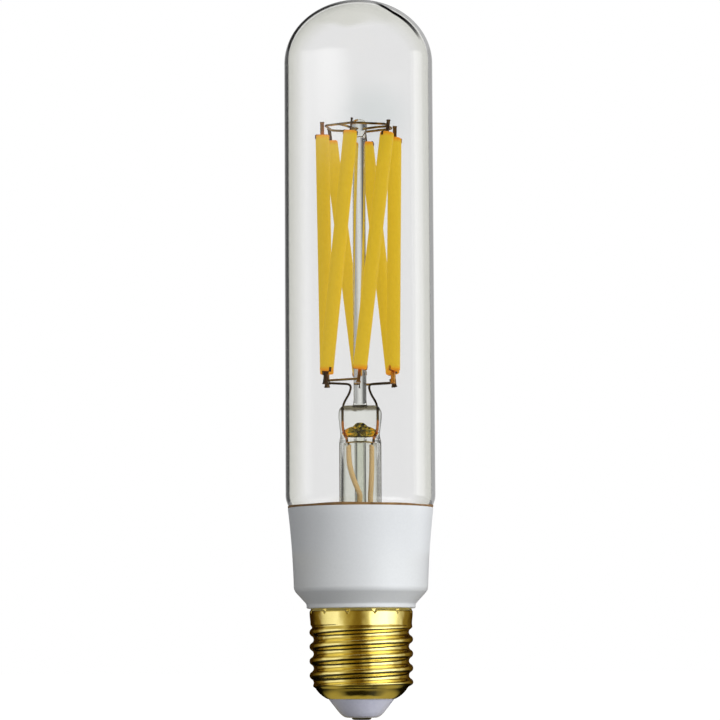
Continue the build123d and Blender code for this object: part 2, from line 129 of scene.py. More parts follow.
def spinOutline(piece, around):  # turns the drawn half section into a full round
    bpy.ops.mesh.select_all(action="SELECT")
    bpy.ops.mesh.spin(steps=around, angle=2 * pi, center=(0, 0, 0), axis=(0, 0, 1))
    bpy.ops.mesh.select_all(action="SELECT")
    bpy.ops.mesh.remove_doubles(threshold=mm(0.002))
    bpy.ops.mesh.normals_make_consistent(inside=False)
    bpy.ops.object.mode_set(mode="OBJECT")


def bendWire(name, points, radius, closed=False):  # round wire that rounds off its route's corners
    clearSelection()
    bpy.ops.curve.primitive_nurbs_path_add()
    wire = bpy.context.object
    wire.name = name
    wire.data.splines.clear()
    spline = wire.data.splines.new("NURBS")
    spline.points.add(len(points) - 1)
    for point, place in zip(spline.points, points):
        point.co = (*[mm(c) for c in place], 1)
    spline.use_cyclic_u = closed
    spline.order_u = 3
    spline.use_endpoint_u = not closed
    spline.resolution_u = 8
    wire.data.bevel_depth = mm(radius)
    wire.data.bevel_resolution = 3
    wire.data.use_fill_caps = True
    bpy.ops.object.convert(target="MESH")
    return wire


def applyModifier(piece, kind, **settings):
    activate(piece)
    modifier = piece.modifiers.new(kind.lower(), kind)
    for name, value in settings.items():
        setattr(modifier, name, value)
    bpy.ops.object.modifier_apply(modifier=modifier.name)


def copyTo(piece, name, matrix):  # a copy with its own mesh, with its place in the mesh
    activate(piece)
    bpy.ops.object.duplicate()
    copy = bpy.context.object
    copy.name = name
    copy.matrix_world = matrix
    bpy.ops.object.transform_apply(location=True, rotation=True, scale=True)
    return copy


def finishPiece(piece, materials, nodes, angle=32):
    activate(piece)
    bpy.ops.object.transform_apply(location=True, rotation=True, scale=True)
    bpy.ops.object.shade_smooth_by_angle(angle=radians(angle))
    if len(piece.data.materials) != len(materials):  # a piece with a finish on each side has them already
        piece.data.materials.clear()
        for material in materials:
            piece.data.materials.append(material)
    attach(piece, "root")
    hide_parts(*nodes)


def around(radius, angle, height):  # millimetres, angle in degrees from +X
    return Vector((radius * cos(radians(angle)), radius * sin(radians(angle)), height))


# Materials

def addNode(tree, kind, values=None, **settings):  # values are numbers, colours, or sockets to link
    node = tree.nodes.new(kind)
    for name, value in settings.items():
        setattr(node, name, value)
    for name, value in (values or {}).items():
        if isinstance(value, bpy.types.NodeSocket):
            tree.links.new(value, node.inputs[name])
        else:
            node.inputs[name].default_value = value
    return node


def newMaterial(name):
    material = bpy.data.materials.new(name)
    material.use_nodes = True
    tree = material.node_tree
    tree.nodes.clear()
    return material, tree, addNode(tree, "ShaderNodeTexCoord").outputs["Object"]


domeMarks = {  # places in millimetres, to the right of the axis and up
    "slope": -0.21,  # of the view from below, so that a mark on the near and the far wall is seen as one
    "thick": (185.8, 187.3),  # where the grey of the dome's top begins and is full
    "greyPatchAt": (3.8, 154.5),
    "greyPatchReach": (1, 13),
    "shadeLineRise": (168.3, 185.2),  # the dome's foot and top, as the painted shade line follows them
    "shadeLineAside": (4, 9),
    "shadeLineShare": (0.98, 0.925),  # of the dome's outline, at those two places
    "shadeLineHalf": (0.01, 0.025),
    "shadeLineStart": (3, 6),
    "shadeLineEnd": (175.5, 178),
    "thinRim": (169, 178),  # the dark rim grows thinner up the dome
}


def spanOf(mark):  # a mark's two ends, as a Map Range node takes them
    low, high = domeMarks[mark]
    return {"From Min": mm(low), "From Max": mm(high)}


def blownGlass(name, rim):  # blown clear glass: its rim mirrors the studio's sides
    material, tree, coordinates = newMaterial(name)
    ripple = addNode(tree, "ShaderNodeTexNoise", {"Vector": coordinates, "Scale": 1 / mm(16), "Detail": 1.0})
    wavy = addNode(tree, "ShaderNodeBump", {"Height": ripple.outputs["Fac"], "Strength": 0.15,
                                            "Distance": mm(0.4)})
    facing = addNode(tree, "ShaderNodeLayerWeight", {"Blend": 0.5}).outputs["Facing"]
    place = addNode(tree, "ShaderNodeSeparateXYZ", {"Vector": coordinates}).outputs
    uneven = addNode(tree, "ShaderNodeMath", {0: ripple.outputs["Fac"], 1: mm(9), 2: place["Z"]},
                     operation="MULTIPLY_ADD")
    thick = addNode(tree, "ShaderNodeMapRange", {"Value": uneven.outputs[0], **spanOf("thick")},
                    interpolation_type="SMOOTHSTEP")
    tint = addNode(tree, "ShaderNodeMix",
                   {0: thick.outputs["Result"], 6: linear("#FAFAFA"), 7: linear("#EFEFEB")},
                   data_type="RGBA")  # the dome's top is thicker and greyer, the grey mostly painted shade for how its curve reflects and bends the light
    aslant = addNode(tree, "ShaderNodeMapRange", {"Value": facing, "From Min": 0.3, "From Max": 0.64})
    longPathAndShade = addNode(tree, "ShaderNodeMix",
                      {0: aslant.outputs["Result"], 6: tint.outputs[2], 7: linear("#F5F5F3")},
                      data_type="RGBA")  # the sides are greyer too: partly the longer way through glass, partly painted shade
    level = addNode(tree, "ShaderNodeMath", {0: place["Y"], 1: domeMarks["slope"], 2: place["Z"]},
                    operation="MULTIPLY_ADD")
    seen = addNode(tree, "ShaderNodeCombineXYZ", {"X": place["X"], "Y": level.outputs[0]})
    greyPatchAt = [mm(c) for c in domeMarks["greyPatchAt"]]
    offGreyPatch = addNode(tree, "ShaderNodeVectorMath", {0: seen.outputs[0], 1: (*greyPatchAt, 0)}, operation="DISTANCE")
    greyPatch = addNode(tree, "ShaderNodeMapRange",
                   {"Value": offGreyPatch.outputs["Value"], **spanOf("greyPatchReach"), "To Min": 1.0, "To Max": 0.0},
                   interpolation_type="SMOOTHSTEP")
    greyPatched = addNode(tree, "ShaderNodeMix",
                   {0: greyPatch.outputs["Result"], 6: longPathAndShade.outputs[2], 7: linear("#F6F7F7")},
                   data_type="RGBA")  # a faint grey patch above the cage
    across = addNode(tree, "ShaderNodeMath", {0: place["X"], 1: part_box("glass_envelope")[1].x},
                     operation="DIVIDE")
    rise = addNode(tree, "ShaderNodeMapRange", {"Value": level.outputs[0], **spanOf("shadeLineRise")})
    spot = addNode(tree, "ShaderNodeCombineXYZ", {"X": across.outputs[0], "Y": rise.outputs["Result"]})
    out = addNode(tree, "ShaderNodeVectorMath", {0: spot.outputs[0]}, operation="LENGTH")
    shadeLineAt = addNode(tree, "ShaderNodeMapRange",
                     {"Value": place["X"], **spanOf("shadeLineAside"), "To Min": domeMarks["shadeLineShare"][0],
                      "To Max": domeMarks["shadeLineShare"][1]})
    past = addNode(tree, "ShaderNodeMath", {0: out.outputs["Value"], 1: shadeLineAt.outputs["Result"]},
                   operation="SUBTRACT")
    offShadeLine = addNode(tree, "ShaderNodeMath", {0: past.outputs[0]}, operation="ABSOLUTE")
    onShadeLine = addNode(tree, "ShaderNodeMapRange",
                     {"Value": offShadeLine.outputs[0], "From Min": domeMarks["shadeLineHalf"][0],
                      "From Max": domeMarks["shadeLineHalf"][1], "To Min": 1.0, "To Max": 0.0},
                     interpolation_type="SMOOTHSTEP")
    begun = addNode(tree, "ShaderNodeMapRange", {"Value": place["X"], **spanOf("shadeLineStart")})
    notEnded = addNode(tree, "ShaderNodeMapRange", {"Value": place["Z"], **spanOf("shadeLineEnd")})
    edgeOn = addNode(tree, "ShaderNodeMapRange", {"Value": facing, "From Min": 0.5, "From Max": 0.58})
    shadeLine = onShadeLine
    for limit in (begun, notEnded, edgeOn):
        shadeLine = addNode(tree, "ShaderNodeMath", {0: shadeLine.outputs[0], 1: limit.outputs[0]}, operation="MULTIPLY")
    shadeLined = addNode(tree, "ShaderNodeMix", {0: shadeLine.outputs[0], 6: greyPatched.outputs[2], 7: linear("#12120E")},
                     data_type="RGBA")  # a painted dark shade line inside the dome's outline
    clear = addNode(tree, "ShaderNodeBsdfTransparent", {"Color": shadeLined.outputs[2]})
    shine = addNode(tree, "ShaderNodeBsdfGlossy", {"Roughness": 0.015, "Normal": wavy.outputs["Normal"]})
    steep = addNode(tree, "ShaderNodeMath", {0: facing, 1: 5.0}, operation="POWER")  # more at a low angle
    share = addNode(tree, "ShaderNodeMath", {0: steep.outputs[0], 1: 0.96 if rim else 0.1, 2: 0.04},
                    operation="MULTIPLY_ADD")
    thinner = addNode(tree, "ShaderNodeMapRange", {"Value": place["Z"], **spanOf("thinRim"), "To Max": 0.07})
    deep = addNode(tree, "ShaderNodeMath", {0: facing, 1: thinner.outputs["Result"]}, operation="SUBTRACT")
    inWall = addNode(tree, "ShaderNodeMapRange",
                     {"Value": deep.outputs[0], "From Min": 0.64, "From Max": 0.71, "To Max": rim},
                     interpolation_type="SMOOTHSTEP")  # the view runs inside the wall's thickness there
    behind = addNode(tree, "ShaderNodeNewGeometry").outputs["Backfacing"]
    near = addNode(tree, "ShaderNodeMapRange", {"Value": behind, "To Min": 1.0 if rim else 0.2,
                                                "To Max": 0.2 if rim else 1.0})
    nearShare = addNode(tree, "ShaderNodeMath", {0: share.outputs[0], 1: near.outputs["Result"]},
                        operation="MULTIPLY")  # the far wall's reflections are fainter
    most = addNode(tree, "ShaderNodeMath", {0: nearShare.outputs[0], 1: inWall.outputs["Result"]},
                   operation="MAXIMUM")
    outsideShadeLine = addNode(tree, "ShaderNodeMath", {0: 1.0, 1: shadeLine.outputs[0]}, operation="SUBTRACT")
    mirror = addNode(tree, "ShaderNodeMath", {0: most.outputs[0], 1: outsideShadeLine.outputs[0]}, operation="MULTIPLY")
    glass = addNode(tree, "ShaderNodeMixShader",
                    {0: mirror.outputs[0], 1: clear.outputs[0], 2: shine.outputs[0]})
    addNode(tree, "ShaderNodeOutputMaterial", {"Surface": glass.outputs[0]})
    return material


def stemGlass(name, pressTop, bend):  # worked stem glass: bends what is behind it; olive and darker where seen edge on, a faint real tint deepened by painted shade
    material, tree, coordinates = newMaterial(name)
    facing = addNode(tree, "ShaderNodeLayerWeight", {"Blend": 0.5}).outputs["Facing"]
    edge = addNode(tree, "ShaderNodeMapRange", {"Value": facing, "From Min": 0.35, "From Max": 0.85})
    drawn = addNode(tree, "ShaderNodeMapping", {"Vector": coordinates, "Scale": (1, 1, 0.04)})  # along the tube
    streaks = addNode(tree, "ShaderNodeTexNoise", {"Vector": drawn.outputs[0], "Scale": 1 / mm(4),
                                                   "Detail": 1.0})
    rough = addNode(tree, "ShaderNodeMapRange", {"Value": streaks.outputs["Fac"], "To Min": 0.01,
                                                 "To Max": 0.04})
    patches = addNode(tree, "ShaderNodeTexNoise", {"Vector": coordinates, "Scale": 1 / mm(2), "Detail": 2.0})
    height = addNode(tree, "ShaderNodeSeparateXYZ", {"Vector": coordinates}).outputs["Z"]
    uneven = addNode(tree, "ShaderNodeMath", {0: patches.outputs["Fac"], 1: mm(1.4), 2: height},
                     operation="MULTIPLY_ADD")
    rimShade = addNode(tree, "ShaderNodeMapRange",
                     {"Value": uneven.outputs[0], "From Min": mm(pressTop - 0.9),
                      "From Max": mm(pressTop - 0.3)}, interpolation_type="SMOOTHSTEP")
    below = addNode(tree, "ShaderNodeMath", {0: height, 1: mm(pressTop + 0.05)}, operation="LESS_THAN")
    rimShadeOnPress = addNode(tree, "ShaderNodeMath", {0: rimShade.outputs["Result"], 1: below.outputs[0]},
                      operation="MULTIPLY")
    # the darkening seen edge on is painted shade
    tint = addNode(tree, "ShaderNodeMix",
                   {0: edge.outputs["Result"], 6: linear("#F4F5F0"), 7: linear("#6E664E")}, data_type="RGBA")
    olive = addNode(tree, "ShaderNodeMix", {0: rimShadeOnPress.outputs[0], 6: tint.outputs[2], 7: linear("#7C7662")},
                    data_type="RGBA")  # the press's rolled top edge is thick, and its dark band is painted shade
    body = addNode(tree, "ShaderNodeBsdfPrincipled",
                   {"Base Color": olive.outputs[2], "Roughness": rough.outputs["Result"], "IOR": bend,
                    "Transmission Weight": 1.0})
    lightRay = addNode(tree, "ShaderNodeLightPath").outputs["Is Shadow Ray"]  # lets the lamps reach the leads
    passing = addNode(tree, "ShaderNodeBsdfTransparent", {"Color": linear("#E4E5DF")})
    glass = addNode(tree, "ShaderNodeMixShader", {0: lightRay, 1: body.outputs[0], 2: passing.outputs[0]})
    addNode(tree, "ShaderNodeOutputMaterial", {"Surface": glass.outputs[0]})
    return material


def mottledSealGlass(reach):  # seal glass, mottled dark olive in the middle; the gold and rust at its ends are painted refraction of the copper-clad leads
    material, tree, coordinates = newMaterial("mottled seal glass")
    patches = addNode(tree, "ShaderNodeTexNoise", {"Vector": coordinates, "Scale": 1 / mm(1.1), "Detail": 2.0})
    aside = addNode(tree, "ShaderNodeSeparateXYZ", {"Vector": coordinates}).outputs["X"]
    off = addNode(tree, "ShaderNodeMath", {0: aside}, operation="ABSOLUTE")
    # towards the ends the ramp runs to gold and rust, the painted refraction of the leads
    share = addNode(tree, "ShaderNodeMapRange", {"Value": off.outputs[0], "From Max": mm(reach),
                                                 "To Min": -1.55, "To Max": -0.75})
    spot = addNode(tree, "ShaderNodeMath", {0: patches.outputs["Fac"], 1: 3.2, 2: share.outputs["Result"]},
                   operation="MULTIPLY_ADD")
    mottle = addNode(tree, "ShaderNodeValToRGB", {"Fac": spot.outputs[0]})
    marks = mottle.color_ramp.elements
    for at, code in ((0.26, "#6E6424"), (0.38, "#B8A63A"), (0.5, "#8C7C2A"), (0.66, "#F0B41C")):
        marks.new(at).color = linear(code)
    marks[0].color, marks[-1].color = linear("#2A2410"), linear("#E08A1E")
    body = addNode(tree, "ShaderNodeBsdfPrincipled", {"Base Color": mottle.outputs["Color"], "Roughness": 0.04,
                                                      "IOR": 1.2, "Transmission Weight": 1.0})
    lightRay = addNode(tree, "ShaderNodeLightPath").outputs["Is Shadow Ray"]
    passing = addNode(tree, "ShaderNodeBsdfTransparent", {"Color": linear("#E4E5DF")})
    glass = addNode(tree, "ShaderNodeMixShader", {0: lightRay, 1: body.outputs[0], 2: passing.outputs[0]})
    addNode(tree, "ShaderNodeOutputMaterial", {"Surface": glass.outputs[0]})
    return material


def plainSurface(name, light, dark, grain, roughness, bump=0.1, metallic=0.0):  # moulded, cast or drawn finish
    material, tree, coordinates = newMaterial(name)
    noise = addNode(tree, "ShaderNodeTexNoise", {"Vector": coordinates, "Scale": 1 / mm(grain), "Detail": 4.0})
    tone = addNode(tree, "ShaderNodeMapRange", {"Value": noise.outputs["Fac"], "From Min": 0.3,
                                                "From Max": 0.7})
    colour = addNode(tree, "ShaderNodeMix", {0: tone.outputs["Result"], 6: linear(dark), 7: linear(light)},
                     data_type="RGBA")
    rough = addNode(tree, "ShaderNodeMapRange", {"Value": noise.outputs["Fac"], "To Min": roughness * 0.85,
                                                 "To Max": roughness * 1.15})
    relief = addNode(tree, "ShaderNodeBump", {"Height": noise.outputs["Fac"], "Strength": bump,
                                              "Distance": mm(grain * 0.1)})
    body = addNode(tree, "ShaderNodeBsdfPrincipled",
                   {"Base Color": colour.outputs[2], "Metallic": metallic, "Roughness": rough.outputs["Result"],
                    "Normal": relief.outputs["Normal"]})
    addNode(tree, "ShaderNodeOutputMaterial", {"Surface": body.outputs[0]})
    return material


def pressedBrass():  # lacquered sheet brass, pressed: bright and yellow, with a slight waviness from the press
    material, tree, coordinates = newMaterial("pressed brass")
    waves = addNode(tree, "ShaderNodeTexNoise", {"Vector": coordinates, "Scale": 1 / mm(3.5), "Detail": 1.0})
    grain = addNode(tree, "ShaderNodeTexNoise", {"Vector": coordinates, "Scale": 1 / mm(0.4), "Detail": 3.0})
    tone = addNode(tree, "ShaderNodeMix",
                   {0: grain.outputs["Fac"], 6: linear("#F0DF8E"), 7: linear("#F4E59B")}, data_type="RGBA")
    rough = addNode(tree, "ShaderNodeMapRange", {"Value": grain.outputs["Fac"], "To Min": 0.1, "To Max": 0.2})
    wavy = addNode(tree, "ShaderNodeBump", {"Height": waves.outputs["Fac"], "Strength": 0.6,
                                            "Distance": mm(0.3)})
    body = addNode(tree, "ShaderNodeBsdfPrincipled",
                   {"Base Color": tone.outputs[2], "Metallic": 1.0, "Roughness": rough.outputs["Result"],
                    "Normal": wavy.outputs["Normal"]})
    addNode(tree, "ShaderNodeOutputMaterial", {"Surface": body.outputs[0]})
    return material


def phosphorSilicone(low, high):  # phosphor in silicone: flat soft yellow; its glow is painted light that evens out its shading, with a little real fluorescence
    material, tree, coordinates = newMaterial("phosphor silicone")
    grain = addNode(tree, "ShaderNodeTexNoise", {"Vector": coordinates, "Scale": 1 / mm(0.8), "Detail": 3.0})
    tone = addNode(tree, "ShaderNodeMix",
                   {0: grain.outputs["Fac"], 6: linear("#B8981A"), 7: linear("#C2A226")}, data_type="RGBA")
    height = addNode(tree, "ShaderNodeSeparateXYZ", {"Vector": coordinates}).outputs["Z"]
    nearLow = addNode(tree, "ShaderNodeMapRange",
                      {"Value": height, "From Min": mm(low), "From Max": mm(low + 1.4), "To Min": 1.0,
                       "To Max": 0.0}, interpolation_type="SMOOTHSTEP")
    nearHigh = addNode(tree, "ShaderNodeMapRange", {"Value": height, "From Min": mm(high - 1.4),
                                                    "From Max": mm(high)}, interpolation_type="SMOOTHSTEP")
    ends = addNode(tree, "ShaderNodeMath", {0: nearLow.outputs[0], 1: nearHigh.outputs[0]}, operation="MAXIMUM")
    colour = addNode(tree, "ShaderNodeMix", {0: ends.outputs[0], 6: tone.outputs[2], 7: linear("#C47C12")},
                     data_type="RGBA")  # more orange near the ends
    dimmedBase = addNode(tree, "ShaderNodeMix", {0: 0.55, 6: colour.outputs[2], 7: linear("#000000")},
                     data_type="RGBA")  # the base is darkened, and the painted glow gives the light back
    relief = addNode(tree, "ShaderNodeBump", {"Height": grain.outputs["Fac"], "Strength": 0.1,
                                              "Distance": mm(0.1)})
    body = addNode(tree, "ShaderNodeBsdfPrincipled",
                   {"Base Color": dimmedBase.outputs[2], "Roughness": 0.6, "Normal": relief.outputs["Normal"],
                    "Subsurface Weight": 1.0, "Subsurface Radius": (1.0, 0.8, 0.4), "Subsurface Scale": mm(2.0),
                    "Specular IOR Level": 0.25, "Emission Color": colour.outputs[2], "Emission Strength": 1.15})
    addNode(tree, "ShaderNodeOutputMaterial", {"Surface": body.outputs[0]})
    return material


def cladLead(low, high):  # nickel lead with a copper-clad length where it is sealed in the glass
    material, tree, coordinates = newMaterial("copper-clad lead")
    height = addNode(tree, "ShaderNodeSeparateXYZ", {"Vector": coordinates}).outputs["Z"]
    mottle = addNode(tree, "ShaderNodeTexNoise", {"Vector": coordinates, "Scale": 1 / mm(1.2), "Detail": 3.0})
    wander = addNode(tree, "ShaderNodeMath", {0: mottle.outputs["Fac"], 1: mm(1.5), 2: height},
                     operation="MULTIPLY_ADD")
    above = addNode(tree, "ShaderNodeMapRange", {"Value": wander.outputs[0], "From Min": mm(low),
                                                 "From Max": mm(low + 0.4)})
    below = addNode(tree, "ShaderNodeMapRange", {"Value": wander.outputs[0], "From Min": mm(high),
                                                 "From Max": mm(high + 0.4), "To Min": 1.0, "To Max": 0.0})
    clad = addNode(tree, "ShaderNodeMath", {0: above.outputs[0], 1: below.outputs[0]}, operation="MULTIPLY")
    bare = addNode(tree, "ShaderNodeMix", {0: mottle.outputs["Fac"], 6: linear("#2E261C"), 7: linear("#6F5B3A")},
                   data_type="RGBA")
    colour = addNode(tree, "ShaderNodeMix", {0: clad.outputs[0], 6: bare.outputs[2], 7: linear("#B8743C")},
                     data_type="RGBA")
    relief = addNode(tree, "ShaderNodeBump", {"Height": mottle.outputs["Fac"], "Strength": 0.3,
                                              "Distance": mm(0.1)})
    body = addNode(tree, "ShaderNodeBsdfPrincipled",
                   {"Base Color": colour.outputs[2], "Metallic": 1.0, "Roughness": 0.35,
                    "Normal": relief.outputs["Normal"]})
    addNode(tree, "ShaderNodeOutputMaterial", {"Surface": body.outputs[0]})
    return material


def wovenSleeve():  # braided fibreglass sleeve: tan, with the braid's fine ridges
    material, tree, coordinates = newMaterial("woven sleeve")
    braid = addNode(tree, "ShaderNodeTexWave", {"Vector": coordinates, "Scale": 1 / mm(1.4), "Distortion": 2.0,
                                                "Detail": 1.0, "Detail Scale": 2.0}, bands_direction="DIAGONAL")
    colour = addNode(tree, "ShaderNodeMix",
                     {0: braid.outputs["Fac"], 6: linear("#D9B27A"), 7: linear("#ECCB98")}, data_type="RGBA")
    relief = addNode(tree, "ShaderNodeBump", {"Height": braid.outputs["Fac"], "Strength": 0.2,
                                              "Distance": mm(0.05)})
    body = addNode(tree, "ShaderNodeBsdfPrincipled",
                   {"Base Color": colour.outputs[2], "Roughness": 0.75, "Normal": relief.outputs["Normal"]})
    addNode(tree, "ShaderNodeOutputMaterial", {"Surface": body.outputs[0]})
    return material


clearGlass = blownGlass("clear blown glass", 0.92)
innerGlass = blownGlass("clear glass inner face", 0.0)
rodGlass = stemGlass("drawn stem rod", heightOf("stem_flare"), 1.52)
pressGlass = stemGlass("pressed stem glass", heightOf("stem_flare"), 1.16)
sealMottle = mottledSealGlass(4.5)
brass = pressedBrass()
collarPlastic = plainSurface("moulded white plastic", "#E2E5E8", "#DFE2E5", 0.6, 0.38, 0.05)
insulatorPlastic = plainSurface("moulded grey plastic", "#E4E6FA", "#DEE0F5", 0.8, 0.35)
cement = plainSurface("cured brown cement", "#A07C4C", "#6A4C2A", 1.6, 0.6, 0.5)
# the contact is coloured dark as painted shade
tinned = plainSurface("tinned contact in painted shade", "#6A6660", "#47443F", 0.5, 0.35, 0.3, metallic=1.0)
# two copies of one tab metal: bright for tabs that look lit, dark for tabs that look shaded, as painted light
# and shade
litTab = plainSurface("lit tab metal", "#ECB050", "#C8822C", 0.9, 0.35, 0.3, metallic=1.0)
shadedTab = plainSurface("shaded tab metal", "#86683C", "#3E2E1E", 0.9, 0.4, 0.3, metallic=1.0)
wireMetal = plainSurface("oxidised nickel wire", "#E2B85E", "#5E4828", 1.6, 0.35, 0.3, metallic=1.0)
sleeve = wovenSleeve()
laminate = plainSurface("green solder mask", "#2F6A3C", "#25552F", 1.5, 0.4)
blackMould = plainSurface("black moulded package", "#2A2A2C", "#1C1C1E", 0.4, 0.5, 0.3)
shrinkSleeve = plainSurface("dark shrink sleeve", "#20263C", "#1A1F33", 2.0, 0.3)
ferrite = plainSurface("sintered ferrite", "#4A4A4C", "#363638", 0.5, 0.6, 0.4)
resistorCoat = plainSurface("resistor cement coat", "#B4A27E", "#9A8864", 0.6, 0.6, 0.4)
wireJacket = plainSurface("white wire jacket", "#E3E2DC", "#D8D6CF", 1.0, 0.45)
print("materials ready")


# Glass envelope: neck, shoulder, tube and round dome, blown from one tube

glassSizes = {
    "radius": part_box("glass_envelope")[1].x * 1000,
    "top": heightOf("glass_envelope"),
    "neckEnd": heightOf("glass_envelope", False),
    "wall": 1.0,
    "dome": 16.4,
    "neckLength": 4.4,
    "neckStep": 4.0,
    "neckRound": 3.0,
    "shoulderRound": 6.3,
    "around": 160,
}
arcs = glassSizes["neckRound"] + glassSizes["shoulderRound"]
turn = acos(1 - glassSizes["neckStep"] / arcs)  # the neck's and shoulder's arcs each turn this far
neckTop = glassSizes["neckEnd"] + glassSizes["neckLength"]
shoulderTop = neckTop + arcs * sin(turn)
neckSetback = glassSizes["neckRound"] * tan(turn / 2)
shoulderSetback = glassSizes["shoulderRound"] * tan(turn / 2)


def glassRadius(height):  # outside radius on the neck and shoulder
    if height < neckTop + glassSizes["neckRound"] * sin(turn):
        neck = glassSizes["radius"] - glassSizes["neckStep"] + glassSizes["neckRound"]
        return neck - sqrt(glassSizes["neckRound"] ** 2 - max(height - neckTop, 0) ** 2)
    flat = glassSizes["radius"] - glassSizes["shoulderRound"]
    return flat + sqrt(glassSizes["shoulderRound"] ** 2 - max(shoulderTop - height, 0) ** 2)


domeSteps = 36
domeLine = [(glassSizes["radius"] * cos(pi / 2 * step / domeSteps),
             glassSizes["top"] - glassSizes["dome"] * (1 - sin(pi / 2 * step / domeSteps)))
            for step in range(domeSteps + 1)]
glassPiece = drawOutline("glassEnvelope", [
    (glassSizes["radius"] - glassSizes["neckStep"], glassSizes["neckEnd"]),
    (glassSizes["radius"] - glassSizes["neckStep"], neckTop + neckSetback, neckSetback, 8),
    (glassSizes["radius"], shoulderTop - shoulderSetback, shoulderSetback, 12),
    *domeLine,
])
spinOutline(glassPiece, glassSizes["around"])
glassPiece.data.materials.append(clearGlass)
glassPiece.data.materials.append(innerGlass)
applyModifier(glassPiece, "SOLIDIFY", thickness=mm(glassSizes["wall"]), offset=-1, use_even_offset=True,
              material_offset=1)
finishPiece(glassPiece, [clearGlass, innerGlass], ["glass_envelope"])
print("glass envelope blown")


# Collar: the driver's housing, with a rounded slope, a foot lip and a spigot inside the cap

collarSizes = {
    "top": heightOf("collar"),
    "spigotEnd": heightOf("collar", False),
    "topRadius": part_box("collar")[1].x * 1000,
    "rim": heightOf("screw_cap") + 0.4,
    "taper": 1.5,
    "sag": 0.25,
    "wall": 1.5,
    "edge": 0.25,
    "mouth": 2.2,
    "footRadius": 13.85,
    "footHeight": 1.1,
    "slopeRise": 3.5,
    "spigotRadius": 11.4,
    "skirtFit": 12.4,
    "spigotStep": 24.4,
    "around": 160,
}
slopeTop = collarSizes["rim"] + collarSizes["footHeight"] + collarSizes["slopeRise"]
baseRadius = collarSizes["topRadius"] - collarSizes["taper"]


def collarSide(share):  # the tapered side's radius and height, a little hollow
    hollow = collarSizes["sag"] * 4 * share * (1 - share)
    return (baseRadius + collarSizes["taper"] * share - hollow,
            slopeTop + (collarSizes["top"] - slopeTop) * share)


sideSteps = 8
sidePoints = [collarSide(step / sideSteps) for step in range(1, sideSteps)]
innerSide = [(radius - collarSizes["wall"], height) for radius, height in reversed(sidePoints)]
collarPiece = drawOutline("collar", [
    (collarSizes["skirtFit"], collarSizes["rim"]),
    (collarSizes["footRadius"], collarSizes["rim"], 0.3, 4),
    (collarSizes["footRadius"], collarSizes["rim"] + collarSizes["footHeight"], 0.3, 4),
    (baseRadius, slopeTop, 0.8, 8),
    *sidePoints,
    (collarSizes["topRadius"], collarSizes["top"], 0.14, 4),
    (collarSizes["topRadius"] - collarSizes["edge"], collarSizes["top"]),
    (collarSizes["topRadius"] - collarSizes["wall"], collarSizes["top"] - collarSizes["mouth"]),
    *innerSide,
    (baseRadius - collarSizes["wall"], slopeTop + 0.4),
    (collarSizes["footRadius"] - collarSizes["wall"], collarSizes["rim"] + 2.1),
    (collarSizes["spigotRadius"] - collarSizes["wall"], collarSizes["rim"] + 2.1),
    (collarSizes["spigotRadius"] - collarSizes["wall"], collarSizes["spigotEnd"]),
    (collarSizes["spigotRadius"], collarSizes["spigotEnd"]),
    (collarSizes["spigotRadius"], collarSizes["spigotStep"]),
    (collarSizes["skirtFit"], collarSizes["spigotStep"]),
    (collarSizes["skirtFit"], collarSizes["rim"]),
])
spinOutline(collarPiece, collarSizes["around"])
finishPiece(collarPiece, [collarPlastic], ["collar"])
print("collar moulded")


# Adhesive bead between the collar's edge and the glass

beadSizes = {"height": 0.6, "depth": 3.2, "wander": 0.1, "around": 160}
mouthEdge = collarSizes["topRadius"] - collarSizes["edge"]
mouthLow = collarSizes["top"] - collarSizes["mouth"]
beadTop = collarSizes["top"] + beadSizes["height"]
beadLow = collarSizes["top"] - beadSizes["depth"]
glassHeights = [beadLow, mouthLow, *[collarSizes["top"] - drop for drop in (1.4, 0.6, 0)]]
glassLine = [(glassRadius(height) + 0.01, height) for height in glassHeights]
beadPiece = drawOutline("neckAdhesive", [
    (glassRadius(beadTop) + 0.02, beadTop),
    (collarSizes["topRadius"] - 0.02, collarSizes["top"] + 0.3, 0.12, 3),
    (collarSizes["topRadius"] - 0.12, collarSizes["top"] + 0.01),
    (mouthEdge - 0.02, collarSizes["top"]),
    (collarSizes["topRadius"] - collarSizes["wall"] - 0.02, mouthLow),
    (collarSizes["topRadius"] - collarSizes["wall"] - 0.2, beadLow),
    *glassLine,
    (glassRadius(beadTop) + 0.02, beadTop),
])
spinOutline(beadPiece, beadSizes["around"])
for vertex in beadPiece.data.vertices:  # the hand-laid edge wanders a little
    if vertex.co.z > mm(collarSizes["top"] + 0.2):
        angle = atan2(vertex.co.y, vertex.co.x)
        vertex.co.z += mm(beadSizes["wander"]) * (sin(3 * angle + 0.6) + 0.6 * sin(7 * angle + 2.1))
finishPiece(beadPiece, [cement], ["neck_adhesive"])
print("adhesive laid")


# Screw cap: bowl, rounded right-hand thread and plain skirt with punch marks

